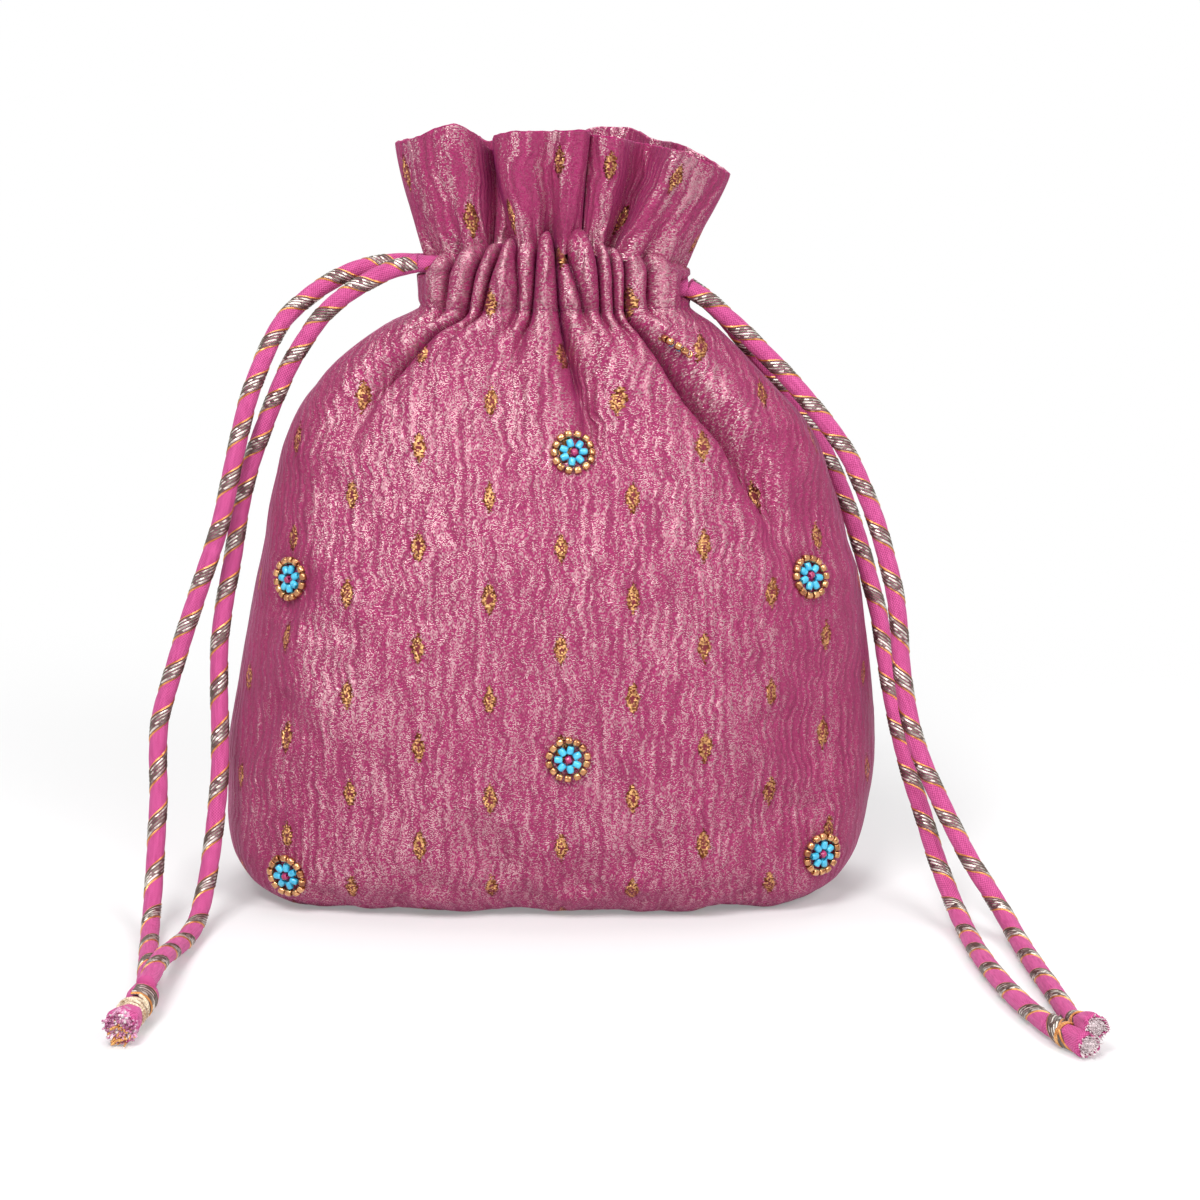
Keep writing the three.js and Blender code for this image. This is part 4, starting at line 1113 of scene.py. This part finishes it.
def ragged_cover(line, radii, seed, sides, thick, rag):
    """A cloth cover round a line, open at its end with a ragged rim, as one closed shell."""
    along, side, up = frames_along(line)
    turn = np.linspace(0, TAU, sides, endpoint=False)
    wobble = 0.09 * np.sin(3 * turn + seed) + 0.05 * np.sin(7 * turn)
    radius = radii[:, None] * (1 + wobble * np.linspace(0, 1, len(line))[:, None])
    outer = line[:, None] + radius[..., None] * across(side[:, None], up[:, None], turn)
    end = np.random.default_rng(seed).uniform(-rag, rag, sides)
    end = ((end + np.roll(end, 1)) / 2)[:, None]
    for row, share in ((-1, 1.0), (-2, 0.5)):
        outer[row] += along[row] * end * share
    inner = outer - unit(outer - line[:, None]) * thick
    whole = np.concatenate([outer, inner[::-1]])
    start = (len(whole) - 1) * sides
    following = [(i + 1) % sides for i in range(sides)]
    closing = [[start + i, start + n, n, i] for i, n in enumerate(following)]
    return whole.reshape(-1, 3), grid_faces(len(whole), sides).tolist() + closing


def filler(line, spread, count, seed, reach, thin):
    """Frayed threads that come out of a cord's end and curl apart."""
    r = np.random.default_rng(seed)
    along, side, up = frames_along(line)
    s = np.linspace(0, 1, 7)[:, None]
    pieces = []
    for _ in range(count):
        turn, far = r.uniform(0, TAU), math.sqrt(r.uniform(0, 1)) * spread
        long = reach * r.uniform(0.4, 1.0)
        curl = r.normal(0, 0.5, 3)
        path = line[-1] + across(side[-1], up[-1], turn) * far * (0.86 + 0.28 * s)
        path = path + along[-1] * (-2.6 + (2.6 + long) * s) + curl * s**2 * 1.1
        path[:, 2] = np.maximum(path[:, 2], 0.35)
        pieces.append(tube(path, thin * r.uniform(0.7, 1.3) * np.linspace(1, 0.6, 7), 5))
    return pieces


def stuffed_end(line, radius, seed):
    """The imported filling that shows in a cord's raw end, as a rounded lumpy plug."""
    shares = np.linspace(0, 1, 12)
    path = line[-1] + frames_along(line)[0][-1] * (-4.0 + 4.5 * shares)[:, None]
    radii = radius * np.sqrt(np.clip(1 - np.clip((shares - 0.72) / 0.3, 0, 1) ** 2, 0.02, 1))
    points, faces = tube(path, radii, 26)
    points[:-2] += np.random.default_rng(seed).normal(0, 0.13, points[:-2].shape)
    points[:, 2] = np.maximum(points[:, 2], 0.3)
    return points, faces


def winding(line, first, last, turns, radius, thin, seed):
    """A binding thread wound round a line between two shares of its length."""
    t = np.linspace(0, 1, int(turns * 18))
    where = (first + (last - first) * t) * (len(line) - 1)
    centre, side, up = (sampled(v, np.arange(len(line)), where) for v in (line, *frames_along(line)[1:]))
    angle = TAU * turns * t
    jitter = np.random.default_rng(seed).uniform(-0.01, 0.01, len(t))
    far = radius * (1 + 0.03 * np.sin(angle * 1.7 + seed) + jitter)
    path = centre + far[:, None] * across(side, up, angle)
    path[:, 2] = np.maximum(path[:, 2], thin)
    return tube(path, thin, 6)


def soft_line(points, count=14):
    """A smooth line through points, with that many points of its own."""
    line, _ = catmull_rom(points)
    return line[np.linspace(0, len(line) - 1, count).astype(int)]


def knot_ribbon(name, points, pitch, phase, start, stop, more_radius):
    """A short piece of the same ribbon, wound round a knot."""
    line, at = catmull_rom(points)
    made = ribbon(name, line, at, frames_along(line), 1, phase, start, stop, more_radius, at / pitch)
    finish_piece(made, metal_ribbon, knot_of(name))


def knot_of(name):
    return name.split("_")[0] + "_end_knot"


def end_piece(name, pieces, look):
    finish_piece(plain_mesh(name, pieces), look, knot_of(name))


# left: both strands run into one bound bundle
LEFT_KNOT_LINE = [(-99.2, -121.5, 5.4), (-99.7, -125.5, 5.3), (-100.3, -130, 5.0), (-101.1, -136, 4.5),
                  (-102.2, -143.5, 4.2)]
line = soft_line(LEFT_KNOT_LINE, 22)
radii_at, knot_radii = [0, 0.2, 0.42, 0.55, 0.76, 0.9, 1], [3.6, 3.7, 2.9, 2.7, 3.8, 4.2, 3.7]
radii = np.interp(np.linspace(0, 1, 22), radii_at, knot_radii)
turns = [(0.44, 0.66, 3.4, 3.05, 0.5, 1), (0.66, 0.42, 1.7, 3.5, 0.42, 2), (0.38, 0.62, 1.1, 3.75, 0.32, 6)]
end_piece("left_end_cover", [ragged_cover(line, radii, 3, 44, 0.6, 1.3)], pink_cotton)
end_piece("left_end_binding", [winding(line, *turn) for turn in turns], cream_thread)
knot_ribbon("left_end_ribbon", LEFT_KNOT_LINE, 3.6, 0.3, 3.6, 15.8, 1.5)
end_piece("left_end_core", [stuffed_end(line, 3.9, 5)], pink_fluff)
end_piece("left_end_filler", filler(line, 3.3, 90, 5, 0.75, 0.46), filler_thread)
end_piece("left_end_pink_threads", filler(line, 3.6, 170, 15, 0.8, 0.44), pink_fluff)
end_piece("left_end_gold_threads", filler(line + (0, -0.3, -1.6), 2.8, 46, 8, 1.3, 0.4), orange_thread)

# right: two cut ends side by side under a tie
RIGHT_UPPER_LINE = [(129.6, -135.6, 2.8), (130.2, -141, 4.2), (131.2, -146.5, 6.4), (132.6, -151.6, 7.0)]
RIGHT_LOWER_LINE = [(123.4, -138.0, 2.8), (126.0, -144, 2.9), (128.6, -149, 3.0), (130.6, -153.2, 3.0)]
radii = np.interp(np.linspace(0, 1, 14), [0, 0.3, 0.7, 0.92, 1], [2.45, 2.5, 2.8, 3.2, 3.0])
for name, points, seed, phase, stop in (("right_end_upper", RIGHT_UPPER_LINE, 11, 0.9, 7.5),
                                        ("right_end_lower", RIGHT_LOWER_LINE, 12, 0.85, 6.5)):
    line = soft_line(points)
    end_piece(name + "_cover", [ragged_cover(line, radii, seed, 40, 0.7, 0.5)], pink_cotton)
    knot_ribbon(name + "_ribbon", points, 17.5, phase, 0.4, stop, 0.62)
    end_piece(name + "_core", [stuffed_end(line, 2.35, seed)], filler_thread)
    end_piece(name + "_filler", filler(line, 2.3, 170, seed + 5, 0.9, 0.2), filler_thread)
tie = [winding(soft_line(RIGHT_LOWER_LINE), 0.42, 0.5, 2.4, 3.05, 0.32, 4),
       winding(soft_line(RIGHT_UPPER_LINE), 0.36, 0.42, 1.6, 3.0, 0.3, 5)]
end_piece("right_end_tie", tie, orange_thread)

# Stitches along the channel's lower line and beside the frill's edges


def stitches(name, line, long, gap, thin):
    """Short threads that lie along a line of surface points."""
    length = length_along(line)
    shape = thin * np.array([0.35, 0.9, 1, 1, 0.9, 0.35])
    pieces = []
    at = 0.4
    while at + long < length[-1]:
        pieces.append(tube(sampled(line, length, np.linspace(at, at + long, 6)), shape))
        at += long + gap
    finish_piece(plain_mesh(name, pieces), stitch_thread_painted_shade, "pouch")


STITCH_HEIGHT, STITCH_SINK, CHANNEL_END = 164.6, 0.02, 7.5
stitch_row = int(np.argmin(np.abs(body["z"][:top_row] - STITCH_HEIGHT)))
stitch_line = pouch[stitch_row] - outward(pouch)[stitch_row] * STITCH_SINK
for name, y_side in (("front", -1), ("back", 1)):
    line = stitch_line[stitch_line[:, 1] * y_side > CHANNEL_END]
    stitches("channel_stitches_" + name, line[np.argsort(line[:, 0])], 2.3, 1.1, 0.2)


def frill_line(low_key, high_key, first, last):
    """A line up the outside of the frill between two places along its rim, in keys."""
    low, high = np.interp(np.array([low_key, high_key]) / len(keys) * CURVE_SPOTS, spots, measure)
    line = []
    for row, t in enumerate(outside_rows):
        if first <= t <= last:
            column = (low + (high - low) * t) / measure[-1] * FRILL_COLUMNS
            left, part = int(column) % FRILL_COLUMNS, column % 1
            line.append(frill[row, left] * (1 - part) + frill[row, (left + 1) % FRILL_COLUMNS] * part)
    return np.array(line)


for name, low, high in (("left", 0.5, 0.75), ("right", 26.3, 25.9)):
    stitches("frill_hem_stitches_" + name, frill_line(low, high, 0.1, 0.96), 1.9, 0.9, 0.21)

# Floor, backdrop and lights

WORLD_LIGHT = 0.27
FLOOR_LIFT, FLOOR_FADE = 0.25, (0.13, 0.42)
FLOOR_COLOUR, WHITE = (0.86, 0.86, 0.86), (1, 1, 1)
FLOOR_EDGE, FLOOR_DROP = 3000, -0.4


def background_rays(tree):
    """1 for rays that see the white background: from the camera, or by way of gloss or glass."""
    kinds = ("Is Camera Ray", "Is Glossy Ray", "Is Transmission Ray")
    seen, by_gloss, by_glass = (node("LightPath", tree=tree, output=kind) for kind in kinds)
    return maths("MAXIMUM", maths("MAXIMUM", seen, by_gloss), by_glass)


floor_material = bpy.data.materials.new("floor")
tree = emptied_tree(floor_material)
far = node("VectorMath", place_on(tree), operation="LENGTH", output="Value")
factor = ramp(far, *FLOOR_FADE, FLOOR_LIFT, 1.0) * background_rays(tree)
lit, white = node("BsdfDiffuse", FLOOR_COLOUR, tree=tree), node("Emission", WHITE, 1.0, tree=tree)
node("OutputMaterial", node("MixShader", factor, lit, white))
sides = ((-1, -1), (1, -1), (1, 1), (-1, 1))
floor_corners = [(x * FLOOR_EDGE, y * FLOOR_EDGE, FLOOR_DROP) for x, y in sides]
floor = mesh_object("floor", floor_corners, [(0, 1, 2, 3)], smooth=False)
floor.data.materials.append(floor_material)

world = bpy.data.worlds.new("world")
scene.world = world
tree = emptied_tree(world)
around_light, seen_light = (node("Background", WHITE, strength, tree=tree) for strength in (WORLD_LIGHT, 1.0))
node("OutputWorld", node("MixShader", background_rays(tree), around_light, seen_light))


def area_light(name, place, target, size, power):
    data = bpy.data.lights.new(name, "AREA")
    data.size = size
    data.energy = power
    lamp = bpy.data.objects.new(name, data)
    scene.collection.objects.link(lamp)
    lamp.location = place
    lamp.rotation_euler = (Vector(target) - Vector(place)).to_track_quat("-Z", "Y").to_euler()


area_light("key", (-0.36, -1.1, 1.3), (0, 0, 0.09), 0.6, 20)
area_light("fill", (0.75, -1.1, 0.95), (0, 0, 0.09), 0.6, 10)
area_light("top", (0.1, 0.35, 1.4), (0, 0, 0.1), 0.9, 9)
